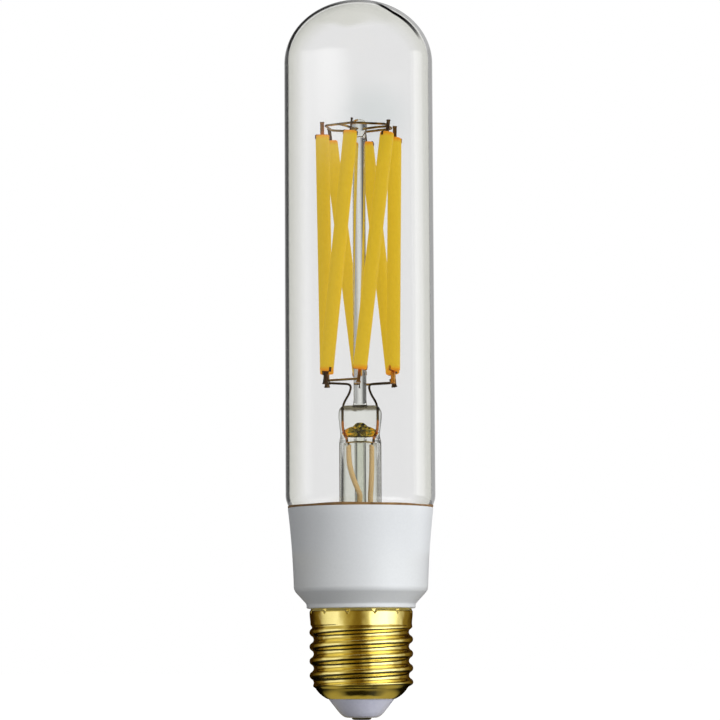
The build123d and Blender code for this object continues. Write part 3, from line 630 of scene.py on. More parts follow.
capSizes = {
    "floor": heightOf("screw_cap", False),
    "rim": heightOf("screw_cap") + 0.4,
    "crest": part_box("screw_cap")[1].x * 1000,
    "depth": 1.05,
    "pitch": 3.629,
    "grooveStart": 7.59,
    "bowl": 3.5,
    "bowlCurve": 7.0,
    "lip": 0.2,
    "wall": 0.4,
    "skirtRadius": 13.1,
    "skirtNeck": 12.9,
    "threadEnd": 23.7,
    "punches": 12,
    "curl": 0.26,
    "punchDrop": 0.75,
    "punchReach": 0.42,
    "punchDepth": 0.45,
    "around": 360,
}
rootRadius = capSizes["crest"] - capSizes["depth"]
threadStart = capSizes["floor"] + capSizes["bowl"]
bowlCentre = rootRadius - capSizes["bowl"]
capInside = rootRadius - capSizes["wall"]
threadRows = 104
skirtRows = 26
rowsTop = capSizes["rim"] - 0.25
threadTop = capSizes["threadEnd"] + 0.6
threadLine = [(rootRadius, threadStart + (threadTop - threadStart) * row / threadRows)
              for row in range(1, threadRows + 1)]
skirtLine = [(capSizes["skirtRadius"], threadTop + (rowsTop - threadTop) * row / skirtRows)
             for row in range(1, skirtRows + 1)]
innerSkirt = capSizes["skirtRadius"] - capSizes["wall"]
bowlLine = arcPoints((bowlCentre, capSizes["floor"]), (rootRadius, threadStart), capSizes["bowlCurve"], 18)
innerBowl = arcPoints((bowlCentre, capSizes["floor"] + capSizes["wall"]), (capInside, threadStart),
                      capSizes["bowlCurve"], 10)[::-1]
capPiece = drawOutline("screwCap", [
    (bowlCentre - capSizes["lip"], capSizes["floor"] + capSizes["wall"]),
    (bowlCentre - capSizes["lip"], capSizes["floor"], 0.15, 3),
    *bowlLine,
    *threadLine,
    *skirtLine,
    (capSizes["skirtRadius"] - 0.36, capSizes["rim"]),
    (innerSkirt, capSizes["rim"]),
    (innerSkirt, threadTop),
    (capInside, threadTop),
    *innerBowl,
    (bowlCentre - capSizes["lip"], capSizes["floor"] + capSizes["wall"]),
])
spinOutline(capPiece, capSizes["around"])


def threadRadius(angle, height):  # crest and root are arcs that meet on the flank
    arcRadius = ((capSizes["pitch"] / 4) ** 2 + (capSizes["depth"] / 2) ** 2) / capSizes["depth"]
    phase = ((height - capSizes["grooveStart"]) / capSizes["pitch"] - angle / (2 * pi)) % 1.0
    fromRoot = min(phase, 1 - phase) * capSizes["pitch"]
    if fromRoot < capSizes["pitch"] / 4:
        return rootRadius + arcRadius - sqrt(arcRadius ** 2 - fromRoot ** 2)
    fromCrest = capSizes["pitch"] / 2 - fromRoot
    return capSizes["crest"] - arcRadius + sqrt(arcRadius ** 2 - fromCrest ** 2)


def punchDent(angle, height):  # depth of the three-cornered punch marks below the rim
    spacing = 2 * pi / capSizes["punches"]
    aside = ((angle + pi / 2) % spacing - spacing / 2) * capSizes["skirtRadius"]
    drop = height - (capSizes["rim"] - capSizes["punchDrop"])
    out = max(drop, -0.5 * drop + 0.866 * aside, -0.5 * drop - 0.866 * aside)
    return capSizes["punchDepth"] * (1 - smooth(0.1, capSizes["punchReach"], out))


for vertex in capPiece.data.vertices:
    place = vertex.co * 1000
    flat = hypot(place.x, place.y)
    angle = atan2(place.y, place.x)
    if flat < capInside + 0.01 or place.z > rowsTop + 0.01 or flat < rootRadius - 0.5 and place.z > threadStart:
        continue
    if abs(flat - innerSkirt) < 0.01 and place.z > threadTop - 0.01:
        continue
    thread = smooth(threadStart - 1.2, threadStart + 0.5, place.z)
    radius = flat
    if place.z < threadTop + 0.01:
        radius = flat + thread * (threadRadius(angle, place.z) - rootRadius)
    neck = capSizes["skirtNeck"] + (capSizes["skirtRadius"] - capSizes["skirtNeck"]) * smooth(
        capSizes["threadEnd"] + 0.5, capSizes["threadEnd"] + 3.2, place.z)
    blend = smooth(capSizes["threadEnd"] - 0.9, capSizes["threadEnd"] + 0.5, place.z)
    if place.z > capSizes["threadEnd"] - 1:
        curl = capSizes["curl"] * smooth(capSizes["rim"] - 0.9, rowsTop, place.z)  # the skirt's top turns in
        radius = radius * (1 - blend) + neck * blend - curl - punchDent(angle, place.z)
    vertex.co.x *= radius / flat
    vertex.co.y *= radius / flat
finishPiece(capPiece, [brass], ["screw_cap"], 40)
print("screw cap pressed and threaded")


# Insulator nose and centre contact

noseSizes = {
    "seat": heightOf("screw_cap", False),
    "low": heightOf("insulator", False),
    "top": heightOf("insulator"),
    "hole": 8.37,
    "flange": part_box("insulator")[1].x * 1000,
    "nose": 5.5,
    "bore": 1.45,
    "contact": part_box("centre_contact")[1].x * 1000,
    "shankTop": heightOf("centre_contact"),
    "around": 96,
}
insulatorPiece = drawOutline("insulator", [
    (noseSizes["bore"], noseSizes["low"]),
    (noseSizes["nose"] - 1.2, noseSizes["low"] + 0.1, 0.7, 4),
    (noseSizes["nose"], noseSizes["low"] + 1.1, 0.8, 5),
    (noseSizes["hole"], noseSizes["seat"], 0.2, 3),
    (noseSizes["hole"], noseSizes["seat"] + 0.6),
    (noseSizes["flange"], noseSizes["seat"] + 0.6),
    (noseSizes["flange"], noseSizes["top"], 0.3, 3),
    (noseSizes["bore"], noseSizes["top"]),
    (noseSizes["bore"], noseSizes["low"]),
])
spinOutline(insulatorPiece, noseSizes["around"])
finishPiece(insulatorPiece, [insulatorPlastic], ["insulator"])
contactPiece = drawOutline("centreContact", [
    (0, 0),
    (noseSizes["contact"] - 0.4, 0, 0.3, 4),
    (noseSizes["contact"], 0.3, 0.2, 4),
    (noseSizes["contact"], noseSizes["low"]),
    (noseSizes["bore"] - 0.05, noseSizes["low"]),
    (noseSizes["bore"] - 0.05, noseSizes["shankTop"], 0.2, 3),
    (0, noseSizes["shankTop"]),
])
spinOutline(contactPiece, 64)
finishPiece(contactPiece, [tinned], ["centre_contact"])
print("insulator and contact turned")


# Glass stem: flared tube, flattened press with a hollow under it, exhaust tube and rod

stemSizes = {
    "low": heightOf("stem_flare", False),
    "pressTop": heightOf("stem_flare"),
    "neckBore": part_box("stem_flare")[1].x * 1000,
    "radius": 5.4,
    "wall": 0.8,
    "land": 1.6,
    "pressHeight": 6.8,
    "pressShoulder": 3.0,
    "pressThick": 4.6,
    "around": 64,
}
pressBase = stemSizes["pressTop"] - stemSizes["pressHeight"]
tubeTop = pressBase - stemSizes["pressShoulder"]
tubeBore = stemSizes["radius"] - stemSizes["wall"]
bell = stemSizes["neckBore"] - stemSizes["land"] - stemSizes["radius"]
stemPiece = drawOutline("stemFlare", [
    (tubeBore, tubeTop),
    (tubeBore, stemSizes["low"], bell + stemSizes["wall"], 10),
    (stemSizes["neckBore"], stemSizes["low"]),
    (stemSizes["neckBore"], stemSizes["low"] + stemSizes["wall"]),
    (stemSizes["radius"], stemSizes["low"] + stemSizes["wall"], bell, 10),
    (stemSizes["radius"], tubeTop),
])
spinOutline(stemPiece, stemSizes["around"])
bpy.ops.object.mode_set(mode="EDIT")


def growLoop(piece, radius, height, rings):  # raises an edge through rings: half width, half depth, height
    pick(piece, lambda place: (abs(place.z - mm(height)) < mm(0.01)
                               and abs(hypot(place.x, place.y) - mm(radius)) < mm(0.05)))
    wide, deep, at = radius, radius, height
    for nextWide, nextDeep, nextAt in rings:
        bpy.ops.mesh.extrude_region_move(TRANSFORM_OT_translate={"value": (0, 0, mm(nextAt - at))})
        bpy.ops.transform.resize(value=(nextWide / wide, nextDeep / deep, 1),
                                 center_override=(0, 0, mm(nextAt)))
        wide, deep, at = nextWide, nextDeep, nextAt
    bpy.ops.mesh.edge_face_add()
    bpy.ops.mesh.inset(thickness=mm(0.05))


half = stemSizes["pressThick"] / 2
growLoop(stemPiece, stemSizes["radius"], tubeTop, [
    (5.3, 4.6, tubeTop + 1.0),
    (5.05, 3.4, tubeTop + 2.0),
    (5.0, half + 0.3, pressBase),
    (5.15, half, pressBase + 1.0),
    (5.45, half, pressBase + 3.5),
    (5.5, half, pressBase + 4.9),
    (5.45, half - 0.08, pressBase + 5.4),
    (5.3, half - 0.25, pressBase + 5.9),
    (5.05, half - 0.45, pressBase + 6.3),
    (4.7, half - 0.7, pressBase + 6.6),
    (4.3, half - 0.9, stemSizes["pressTop"]),
])
growLoop(stemPiece, tubeBore, tubeTop, [
    (4.3, 4.2, tubeTop + 0.2),
    (3.0, 2.8, tubeTop + 0.45),
])
bpy.ops.object.mode_set(mode="OBJECT")
for vertex in stemPiece.data.vertices:  # presses the top's oval rings to flat faces with round sides
    pressed = smooth(tubeTop + 0.8, pressBase + 1.0, vertex.co.z * 1000)
    if pressed > 0:
        angle = atan2(vertex.co.y / half, vertex.co.x / 5.4)
        square = (abs(cos(angle)) ** 5 + abs(sin(angle)) ** 5) ** -0.2
        uneven = 0.012 * sin(vertex.co.z * 1900 + 2 * angle) + 0.01 * sin(vertex.co.z * 1100 + 3 * angle)
        vertex.co.x *= 1 + (square - 1 + uneven) * pressed
        vertex.co.y *= 1 + (square - 1 + 2 * uneven) * pressed
bubblePiece = drawOutline("bubble", [  # the air that the press shuts in under the rod
    (0, pressBase - 2.0),
    (2.8, pressBase - 1.8, 0.9, 4),
    (4.4, pressBase - 0.9, 0.6, 4),
    (4.5, pressBase + 0.2, 0.4, 4),
    (3.2, pressBase + 1.2, 0.7, 4),
    (1.8, pressBase + 1.6, 0.4, 4),
    (1.0, pressBase + 2.4, 0.4, 4),
    (0, pressBase + 2.5),
])
spinOutline(bubblePiece, 48)
bpy.ops.object.mode_set(mode="EDIT")
bpy.ops.mesh.select_all(action="SELECT")
bpy.ops.transform.resize(value=(1, 0.32, 1), center_override=(0, 0, 0))
bpy.ops.mesh.flip_normals()
bpy.ops.object.mode_set(mode="OBJECT")
stemPiece.data.materials.append(pressGlass)
bubblePiece.data.materials.append(sealMottle)
activate(stemPiece)
bubblePiece.select_set(True)
bpy.ops.object.join()
finishPiece(stemPiece, [pressGlass, sealMottle], ["stem_flare"], 60)

rodSizes = {
    "low": heightOf("centre_rod", False),
    "top": heightOf("centre_rod"),
    "radius": 1.65,
    "bead": 2.1,
    "foot": 1.9,
    "around": 48,
}
beadMiddle = rodSizes["top"] - rodSizes["bead"]
rodPiece = drawOutline("centreRod", [
    (0, rodSizes["low"] - 0.6),
    (rodSizes["foot"], rodSizes["low"] - 0.6),
    (rodSizes["foot"], rodSizes["low"]),
    (rodSizes["radius"], rodSizes["low"] + 0.9, 0.9, 6),
    (rodSizes["radius"], beadMiddle - 2.6, 0.8, 4),
    (rodSizes["bead"] + 0.15, beadMiddle - 0.6, 1.2, 6),
    (rodSizes["bead"] - 0.1, rodSizes["top"] - 0.3, 1.4, 8),
    (0, rodSizes["top"]),
])
spinOutline(rodPiece, rodSizes["around"])
finishPiece(rodPiece, [rodGlass], ["centre_rod"], 60)

exhaustSizes = {
    "low": heightOf("exhaust_tube", False),
    "top": heightOf("exhaust_tube"),
    "radius": 1.45,
    "bore": 0.95,
    "around": 40,
}
exhaustPiece = drawOutline("exhaustTube", [
    (0, exhaustSizes["low"]),
    (exhaustSizes["radius"], exhaustSizes["low"] + 0.4, 1.0, 6),
    (exhaustSizes["radius"], exhaustSizes["top"] + 0.8),
    (exhaustSizes["bore"], exhaustSizes["top"] + 0.8),
    (exhaustSizes["bore"], exhaustSizes["low"] + 2.6, 0.7, 5),
    (0, exhaustSizes["low"] + 2.2),
])
spinOutline(exhaustPiece, exhaustSizes["around"])
finishPiece(exhaustPiece, [pressGlass], ["exhaust_tube"], 60)
print("glass stem pressed")


# Filament cage: six filaments, each with a metal tab at both ends

cage = {
    "count": 6,
    "radius": 9.8,
    "twist": 48.0,
    "turn": 150.0,
    "length": 61.6,
    "rise": 8.5,
    "width": 3.6,
    "thick": 3.5,
    "tabDeep": 1.0,  # out from the axis
    "topTab": (0.32, 3.3),  # thickness and length
    "footTab": (0.85, 3.4),
    "clipReach": 1.1,
    "clipWidth": 0.6,
    "clipThick": 0.14,
}
cageLow = stemSizes["pressTop"] + cage["rise"]
chord = 2 * cage["radius"] * sin(radians(cage["twist"] / 2))
cageHigh = cageLow + sqrt(cage["length"] ** 2 - chord ** 2)


def lowEnd(number):
    return around(cage["radius"], cage["turn"] + 360 * number / cage["count"], cageLow)


def highEnd(number):
    return around(cage["radius"], cage["turn"] + cage["twist"] + 360 * number / cage["count"], cageHigh)


def standAt(end, along, outward):  # matrix of a piece modelled along +Z, with its Y out from the axis
    across = along.cross(Vector((outward.x, outward.y, 0))).normalized()
    matrix = Matrix.Identity(4)
    for column, axis in enumerate((across, along.cross(across), along)):
        matrix.col[column] = (*axis, 0)
    matrix.col[3] = (*(end / 1000), 1)
    return matrix


def modelFilament():  # one filament along +Z: a rounded strip with softened ends
    clearSelection()
    bpy.ops.mesh.primitive_cylinder_add(vertices=32, radius=mm(cage["thick"] / 2), depth=mm(cage["length"]),
                                        location=(0, 0, mm(cage["length"] / 2)))
    strip = bpy.context.object
    bpy.ops.object.transform_apply(location=True)
    bpy.ops.object.mode_set(mode="EDIT")
    spread = mm((cage["width"] - cage["thick"]) / 2)
    for side in (1, -1):  # pulls the round apart to a slot section
        pick(strip, lambda place: place.x * side > mm(0.001))
        bpy.ops.transform.translate(value=(side * spread, 0, 0))
    for height in (0, mm(cage["length"])):
        pick(strip, lambda place: abs(place.z - height) < mm(0.01))
        bpy.ops.mesh.bevel(offset=mm(0.45), segments=4, affect="EDGES")
    bpy.ops.object.mode_set(mode="OBJECT")
    return strip


def modelTab(thick, length, legsOut):  # one strip along +Z, with a crimped end and a clip for the filament
    clearSelection()
    bpy.ops.mesh.primitive_cube_add(size=1, location=(0, 0, mm(length / 2)))
    tab = bpy.context.object
    tab.scale = (mm(thick), mm(cage["tabDeep"]), mm(length))
    bpy.ops.object.transform_apply(location=True, scale=True)
    bpy.ops.object.mode_set(mode="EDIT")
    pick(tab, lambda place: place.z > mm(length - 0.01))
    bpy.ops.transform.translate(value=(0, 0, mm(-0.45)))
    bpy.ops.mesh.extrude_region_move(TRANSFORM_OT_translate={"value": (0, 0, mm(0.1))})
    bpy.ops.transform.resize(value=(1.4, 1.1, 1), center_override=(0, 0, mm(length)))
    bpy.ops.mesh.extrude_region_move(TRANSFORM_OT_translate={"value": (0, 0, mm(0.35))})
    bpy.ops.object.mode_set(mode="OBJECT")
    applyModifier(tab, "BEVEL", width=mm(0.06), segments=2, limit_method="ANGLE")
    side = cage["width"] / 2 + 0.02
    clip = drawOutline("clip", [(-side, -cage["clipReach"]), (-side, 0.02, 0.3, 3), (side, 0.02, 0.3, 3),
                                (side, -cage["clipReach"])])
    bpy.ops.mesh.select_all(action="SELECT")
    bpy.ops.transform.translate(value=(0, mm(-cage["clipWidth"] / 2), 0))
    bpy.ops.mesh.extrude_region_move(TRANSFORM_OT_translate={"value": (0, mm(cage["clipWidth"]), 0)})
    bpy.ops.mesh.select_all(action="SELECT")
    bpy.ops.mesh.normals_make_consistent(inside=False)
    if legsOut:  # the legs lie on the filament's inner and outer sides
        bpy.ops.transform.rotate(value=pi / 2, orient_axis="Z", center_override=(0, 0, 0))
    bpy.ops.object.mode_set(mode="OBJECT")
    applyModifier(clip, "SOLIDIFY", thickness=mm(cage["clipThick"]), offset=0)
    activate(tab)
    clip.select_set(True)
    bpy.ops.object.join()
    return tab


phosphor = phosphorSilicone(cageLow, cageHigh)
filamentModel = modelFilament()
topTabModels = [modelTab(*cage["topTab"], legsOut) for legsOut in (False, True)]
footTabModel = modelTab(*cage["footTab"], False)
for number in range(cage["count"]):
    low = lowEnd(number)
    high = highEnd(number)
    rise = (high - low).normalized()
    middle = Vector((low.x + high.x, low.y + high.y, 0))
    name = str(number + 1)
    filament = copyTo(filamentModel, "filament" + name, standAt(low, rise, middle))
    finishPiece(filament, [phosphor], ["filament_" + name], 45)
    # which tabs get the lit or the shaded copy follows how each tab looks: painted light and shade
    copper = number in (0, 3)
    topTab = copyTo(topTabModels[copper], "topTab" + name, standAt(high, rise, high))
    finishPiece(topTab, [litTab if copper else shadedTab], ["top_tab_" + name])
    footTab = copyTo(footTabModel, "footTab" + name, standAt(low, -rise, low))
    finishPiece(footTab, [litTab if number in (2, 3) else shadedTab], ["foot_tab_" + name])
for model in (filamentModel, *topTabModels, footTabModel):
    bpy.data.objects.remove(model)
print("filament cage hung")


# Wires: ring and spokes above, bus wires and leads below, sleeves in the stem

wireSizes = {
    "radius": 0.3,
    "ringHeight": 2.4,
    "ringTilt": 0.03,  # the ring hangs a little lower in front
    "busDrop": 2.3,
    "pressLead": 4.4,
    "knee": 2.35,
    "orbit": 2.975,
    "sleeveRadius": 0.65,
}


def weldPoint(end, rise, height):  # centre of a wire that lies on a tab's inner edge
    out = Vector((end.x, end.y, 0)).normalized()
    inward = (rise * out.dot(rise) - out).normalized()
    return end + rise * ((height - end.z) / rise.z) + inward * (cage["tabDeep"] / 2 + wireSizes["radius"])


def riseOf(number):
    return (highEnd(number) - lowEnd(number)).normalized()


ringAt = cageHigh + wireSizes["ringHeight"]
busAt = cageLow - wireSizes["busDrop"]
ringCorners = [weldPoint(highEnd(number), riseOf(number), ringAt + wireSizes["ringTilt"] * highEnd(number).y)
               for number in range(cage["count"])]
ringRoute = []
for corner, following in zip(ringCorners, ringCorners[1:] + ringCorners[:1]):
    ringRoute += [corner, corner.lerp(following, 0.25), corner.lerp(following, 0.75)]
ringPiece = bendWire("topRing", ringRoute, wireSizes["radius"], closed=True)
finishPiece(ringPiece, [wireMetal], ["top_ring"], 60)

for number in range(3):
    first = ringCorners[2 * number]
    middle = (first + ringCorners[2 * number + 1]) / 2
    outward = Vector((middle.x, middle.y, 0)).normalized()
    rimPoint = outward * (hypot(middle.x, middle.y) - 0.1)
    spokeRoute = [outward * 0.9 + Vector((0, 0, middle.z - 0.5)),
                  rimPoint * 0.5 + Vector((0, 0, middle.z - 0.15)),
                  rimPoint * 0.8 + Vector((0, 0, middle.z)), rimPoint + Vector((0, 0, middle.z))]
    spokePiece = bendWire("ringSpoke" + str(number + 1), spokeRoute, wireSizes["radius"])
    finishPiece(spokePiece, [wireMetal], ["ring_spoke_" + str(number + 1)], 60)

for first, node in ((0, "left"), (3, "right")):
    posts = [weldPoint(lowEnd(number), riseOf(number), busAt) for number in range(first, first + 3)]
    busRoute = [posts[0], posts[0].lerp(posts[1], 0.3), posts[0].lerp(posts[1], 0.8), posts[1],
                posts[1].lerp(posts[2], 0.2), posts[1].lerp(posts[2], 0.7), posts[2]]
    busPiece = bendWire(node + "Bus", busRoute, wireSizes["radius"])
    finishPiece(busPiece, [wireMetal], [node + "_bus"], 60)

leadMetal = cladLead(pressBase - 1.6, pressBase + 3.4)
leadTop = busAt - 0.6
sleeveTop = tubeTop - 0.4
for side, node in ((-1, "left"), (1, "right")):
    leadRoute = [
        (side * 8.0, 0, leadTop + 0.25),
        (side * 4.6, 0, leadTop + 0.1),
        (side * (wireSizes["knee"] - 0.2), 0, leadTop - 0.1),
        (side * (wireSizes["knee"] + 0.3), 0, leadTop - 2.4),
        (side * (wireSizes["pressLead"] - 0.3), 0, stemSizes["pressTop"] + 0.9),
        (side * wireSizes["pressLead"], 0, stemSizes["pressTop"] - 0.5),
        (side * wireSizes["pressLead"], 0, pressBase + 1.6),
        (side * (wireSizes["pressLead"] - 0.5), 0, pressBase - 0.8),
        (side * wireSizes["orbit"], 0, tubeTop + 1.0),
        (side * wireSizes["orbit"], 0, sleeveTop),
    ]
    leadPiece = bendWire(node + "Lead", leadRoute, wireSizes["radius"])
    finishPiece(leadPiece, [leadMetal], [node + "_lead"], 60)

boardTop = heightOf("driver_board")
for side, node, swing in ((-1, "left", 95), (1, "right", -35)):
    startAngle = 180 if side < 0 else 0
    fall = sleeveTop - collarSizes["top"]
    sleeveRoute = []
    for share in (0, 0.12, 0.3, 0.5, 0.7, 0.85):  # of the way down to the collar
        angle = startAngle + swing * max(share - 0.15, 0) / 0.7
        sleeveRoute.append(around(wireSizes["orbit"], angle, sleeveTop - fall * share))
    sleeveRoute += [Vector((side * wireSizes["orbit"], -1.65, boardTop + 3)),
                    Vector((side * wireSizes["orbit"], -1.65, boardTop)),
                    Vector((side * wireSizes["orbit"], -1.65, boardTop - 4))]
    sleevePiece = bendWire(node + "Sleeve", sleeveRoute, wireSizes["sleeveRadius"])
    finishPiece(sleevePiece, [sleeve], [node + "_sleeve"], 60)
print("wires bent")


# Driver inside the collar keeps its CAD shapes

driverFinishes = {
    "driver_board": laminate,
    "rectifier": blackMould,
    "controller_chip": blackMould,
    "smoothing_capacitor": shrinkSleeve,
    "choke": ferrite,
    "fusible_resistor": resistorCoat,
    "live_wire": wireJacket,
    "neutral_wire": wireJacket,
}
for node, finish in driverFinishes.items():
    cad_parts[node].data.materials.clear()
    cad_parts[node].data.materials.append(finish)
print("driver finished")


# Studio: white surroundings, soft lamps, and rings and cards that only gloss and glass see

studio = {
    "ambient": 0.3,
    "floorSize": 6.0,
    "floorShade": 0.12,  # share of the floor that keeps its shadow on the white
    "rings": {  # radius, low and high in millimetres, seen through glass, then angle to the right and level
        "capRing": (60, 0.5, 36, False, [(-180, 0.05), (-127, 0.02), (-100, 0.2), (-80, 0.9), (-49, 1.2),
                                         (-36, 0.6), (-23, 0.35), (-11, 0.18), (0, 0.2), (13, 0.7), (26, 2.0),
                                         (52, 2.7), (84, 0.9), (104, 0.25), (136, 0.06), (180, 0.05)]),
        "tubeRing": (450, 1, 300, True, [(-180, 1.0), (-172, 0.9), (-158, 0.18), (-146, 0.08), (-106, 0.07),
                                         (-98, 0.9), (-86, 0.9), (-76, 0.2), (-10, 0.2), (20, 0.1), (92, 0.1),
                                         (96, 2.4), (111, 2.4), (118, 0.6), (124, 0.5), (158, 0.5), (172, 0.9),
                                         (180, 1.0)]),
        "domeRing": (450, 300, 900, False, [(-180, 0.35), (-176, 0.28), (-170, 0.04), (-155, 0.02),
                                            (-100, 0.03), (-86, 0.14), (90, 0.14), (110, 0.5), (150, 0.6),
                                            (170, 0.6), (176, 0.45), (180, 0.35)]),
    },
    "front": [(-180, 0), (-92, 0), (-84, 1), (84, 1), (92, 0), (180, 0)],  # white through glass there
    "lampAim": 0.09,
    "lamps": {  # angle from the front, elevation, distance, width, height, power
        "keyLamp": (45, 12, 0.9, 0.6, 0.9, 9.0),
        "fillLamp": (-60, 10, 0.9, 0.6, 0.9, 1.2),
        "topLamp": (20, 75, 0.8, 0.6, 0.6, 1.0),
        "backLamp": (180, 20, 0.9, 0.6, 0.9, 4.0),
    },
}
scene = bpy.context.scene
world = bpy.data.worlds.new("studio")
scene.world = world
world.use_nodes = True
worldTree = world.node_tree
worldTree.nodes.clear()


def addWhiteShare(tree):  # 1 for the rays that should see plain white: straight or through glass
    path = addNode(tree, "ShaderNodeLightPath").outputs
    return addNode(tree, "ShaderNodeMath", {0: path["Is Camera Ray"], 1: path["Is Transmission Ray"]},
                   operation="MAXIMUM").outputs[0]


def turnLevels(tree, place, stops, warm):  # levels by angle round the axis, as a colour and its brightest level
    turned = addNode(tree, "ShaderNodeTexGradient", {"Vector": place}, gradient_type="RADIAL")
    ramp = addNode(tree, "ShaderNodeValToRGB", {"Fac": turned.outputs["Fac"]})
    brightest = max(level for angle, level in stops)
    marks = ramp.color_ramp.elements
    for angle, level in stops[1:-1]:
        marks.new(angle / 360 + 0.5)
    for mark, (angle, level) in zip(marks, stops):
        powers = (1, 1.25, 2.4) if warm and level < 1 else (1, 1, 1)  # dim parts are warmer
        mark.color = (*[level ** power / brightest for power in powers], 1)
    return ramp.outputs["Color"], brightest


dim = addNode(worldTree, "ShaderNodeBackground", {"Color": linear("#FFFFFF"), "Strength": studio["ambient"]})
white = addNode(worldTree, "ShaderNodeBackground", {"Color": linear("#FFFFFF"), "Strength": 1.0})
sky = addNode(worldTree, "ShaderNodeMixShader",
              {0: addWhiteShare(worldTree), 1: dim.outputs[0], 2: white.outputs[0]})
addNode(worldTree, "ShaderNodeOutputWorld", {"Surface": sky.outputs[0]})

floorMaterial, floorTree = newMaterial("pale floor")[:2]
whiteShare = addNode(floorTree, "ShaderNodeMath", {0: addWhiteShare(floorTree), 1: 1 - studio["floorShade"]},
                     operation="MULTIPLY")
paper = addNode(floorTree, "ShaderNodeBsdfDiffuse", {"Color": linear("#9A9A9A")})
glow = addNode(floorTree, "ShaderNodeEmission", {"Color": linear("#FFFFFF"), "Strength": 1.16})
floorMix = addNode(floorTree, "ShaderNodeMixShader",
                   {0: whiteShare.outputs[0], 1: paper.outputs[0], 2: glow.outputs[0]})
addNode(floorTree, "ShaderNodeOutputMaterial", {"Surface": floorMix.outputs[0]})
clearSelection()
bpy.ops.mesh.primitive_plane_add(size=studio["floorSize"], location=(0, 0, cadBox[0].z))
floor = bpy.context.object
floor.name = "floor"
floor.data.materials.append(floorMaterial)


def stageCard(card, seenThrough):  # seen in reflections, and through thick glass where asked
    for ray in ("camera", "diffuse", "shadow", "volume_scatter"):
        setattr(card, "visible_" + ray, False)
    card.visible_transmission = seenThrough


for name, (radius, low, high, seenThrough, stops) in studio["rings"].items():
    ringMaterial, ringTree, ringPlace = newMaterial(name + " light")
    levels, brightest = turnLevels(ringTree, ringPlace, stops, name == "capRing")
    shine = addNode(ringTree, "ShaderNodeEmission", {"Color": levels, "Strength": brightest})
    ahead = turnLevels(ringTree, ringPlace, studio["front"], False)[0]
    through = addNode(ringTree, "ShaderNodeLightPath").outputs["Is Transmission Ray"]
    plain = addNode(ringTree, "ShaderNodeMath", {0: ahead, 1: through}, operation="MULTIPLY")
    whiteShine = addNode(ringTree, "ShaderNodeEmission", {"Color": linear("#FFFFFF"), "Strength": 1.0})
    ringMix = addNode(ringTree, "ShaderNodeMixShader",
                      {0: plain.outputs[0], 1: shine.outputs[0], 2: whiteShine.outputs[0]})
    addNode(ringTree, "ShaderNodeOutputMaterial", {"Surface": ringMix.outputs[0]})
    clearSelection()
    bpy.ops.mesh.primitive_cylinder_add(vertices=96, radius=mm(radius), depth=mm(high - low),
                                        end_fill_type="NOTHING", location=(0, 0, mm(low + high) / 2),
                                        rotation=(0, 0, -pi / 2))
    ring = bpy.context.object
    ring.name = name
    ring.data.materials.append(ringMaterial)
    stageCard(ring, seenThrough)

cards = {  # angle to the right, distance, height and radius in millimetres, times wider, level at the middle
    "ceilingCard": (0, 0, 900, 450, 1, 0.4),
    "glowCard": (-50, 300, 230, 56, 5.6, 2.0),
}
for name, (turnTo, distance, height, radius, wider, level) in cards.items():
    cardMaterial, cardTree, cardPlace = newMaterial(name + " light")
    away = addNode(cardTree, "ShaderNodeVectorMath", {0: cardPlace}, operation="LENGTH")
    fade = addNode(cardTree, "ShaderNodeMapRange", {"Value": away.outputs["Value"], "From Min": 0.0,
                                                    "From Max": mm(radius), "To Min": level, "To Max": 0.0},
                   interpolation_type="SMOOTHSTEP")
    shine = addNode(cardTree, "ShaderNodeEmission", {"Color": linear("#FFFFFF"),
                                                     "Strength": fade.outputs["Result"]})
    passing = addNode(cardTree, "ShaderNodeBsdfTransparent")
    glow = addNode(cardTree, "ShaderNodeAddShader", {0: shine.outputs[0], 1: passing.outputs[0]})
    addNode(cardTree, "ShaderNodeOutputMaterial", {"Surface": glow.outputs[0]})
    clearSelection()
    place = Vector((sin(radians(turnTo)) * mm(distance), -cos(radians(turnTo)) * mm(distance), mm(height)))
    facing = Vector((place.x, place.y, 0)) if distance else Vector((0, 0, 1))
    bpy.ops.mesh.primitive_circle_add(vertices=96, radius=mm(radius), fill_type="NGON", location=place,
                                      rotation=facing.to_track_quat("Z", "Y").to_euler())
    card = bpy.context.object
    card.name = name
    card.scale.x = wider
    card.data.materials.append(cardMaterial)
    stageCard(card, False)

tableSizes = {  # millimetres
    "radius": 60,
    "height": 0.3,
    "far": (15, 60),
    "close": (11, 18.5),
    "line": 11.1,
    "lineHalf": (1.8, 3.2),
    "lineTurn": (0.08, 0.17),  # turns to each side of the front
}
tableMaterial, tableTree, tablePlace = newMaterial("tableCard light")  # the table as the cap's brass sees it
levels, brightest = turnLevels(tableTree, tablePlace, studio["rings"]["capRing"][4], True)
away = addNode(tableTree, "ShaderNodeVectorMath", {0: tablePlace}, operation="LENGTH")
fade = addNode(tableTree, "ShaderNodeMapRange",
               {"Value": away.outputs["Value"], "From Min": mm(tableSizes["far"][0]),
                "From Max": mm(tableSizes["far"][1]), "To Min": 0.02 * brightest, "To Max": 0.11 * brightest})
far = addNode(tableTree, "ShaderNodeEmission", {"Color": levels, "Strength": fade.outputs["Result"]})
close = addNode(tableTree, "ShaderNodeMapRange",
                {"Value": away.outputs["Value"], "From Min": mm(tableSizes["close"][0]),
                 "From Max": mm(tableSizes["close"][1]), "To Min": 0.36, "To Max": 0.0},
                interpolation_type="SMOOTHSTEP")
fromLine = addNode(tableTree, "ShaderNodeMath", {0: away.outputs["Value"], 1: mm(tableSizes["line"])},
                   operation="SUBTRACT")
offLine = addNode(tableTree, "ShaderNodeMath", {0: fromLine.outputs[0]}, operation="ABSOLUTE")
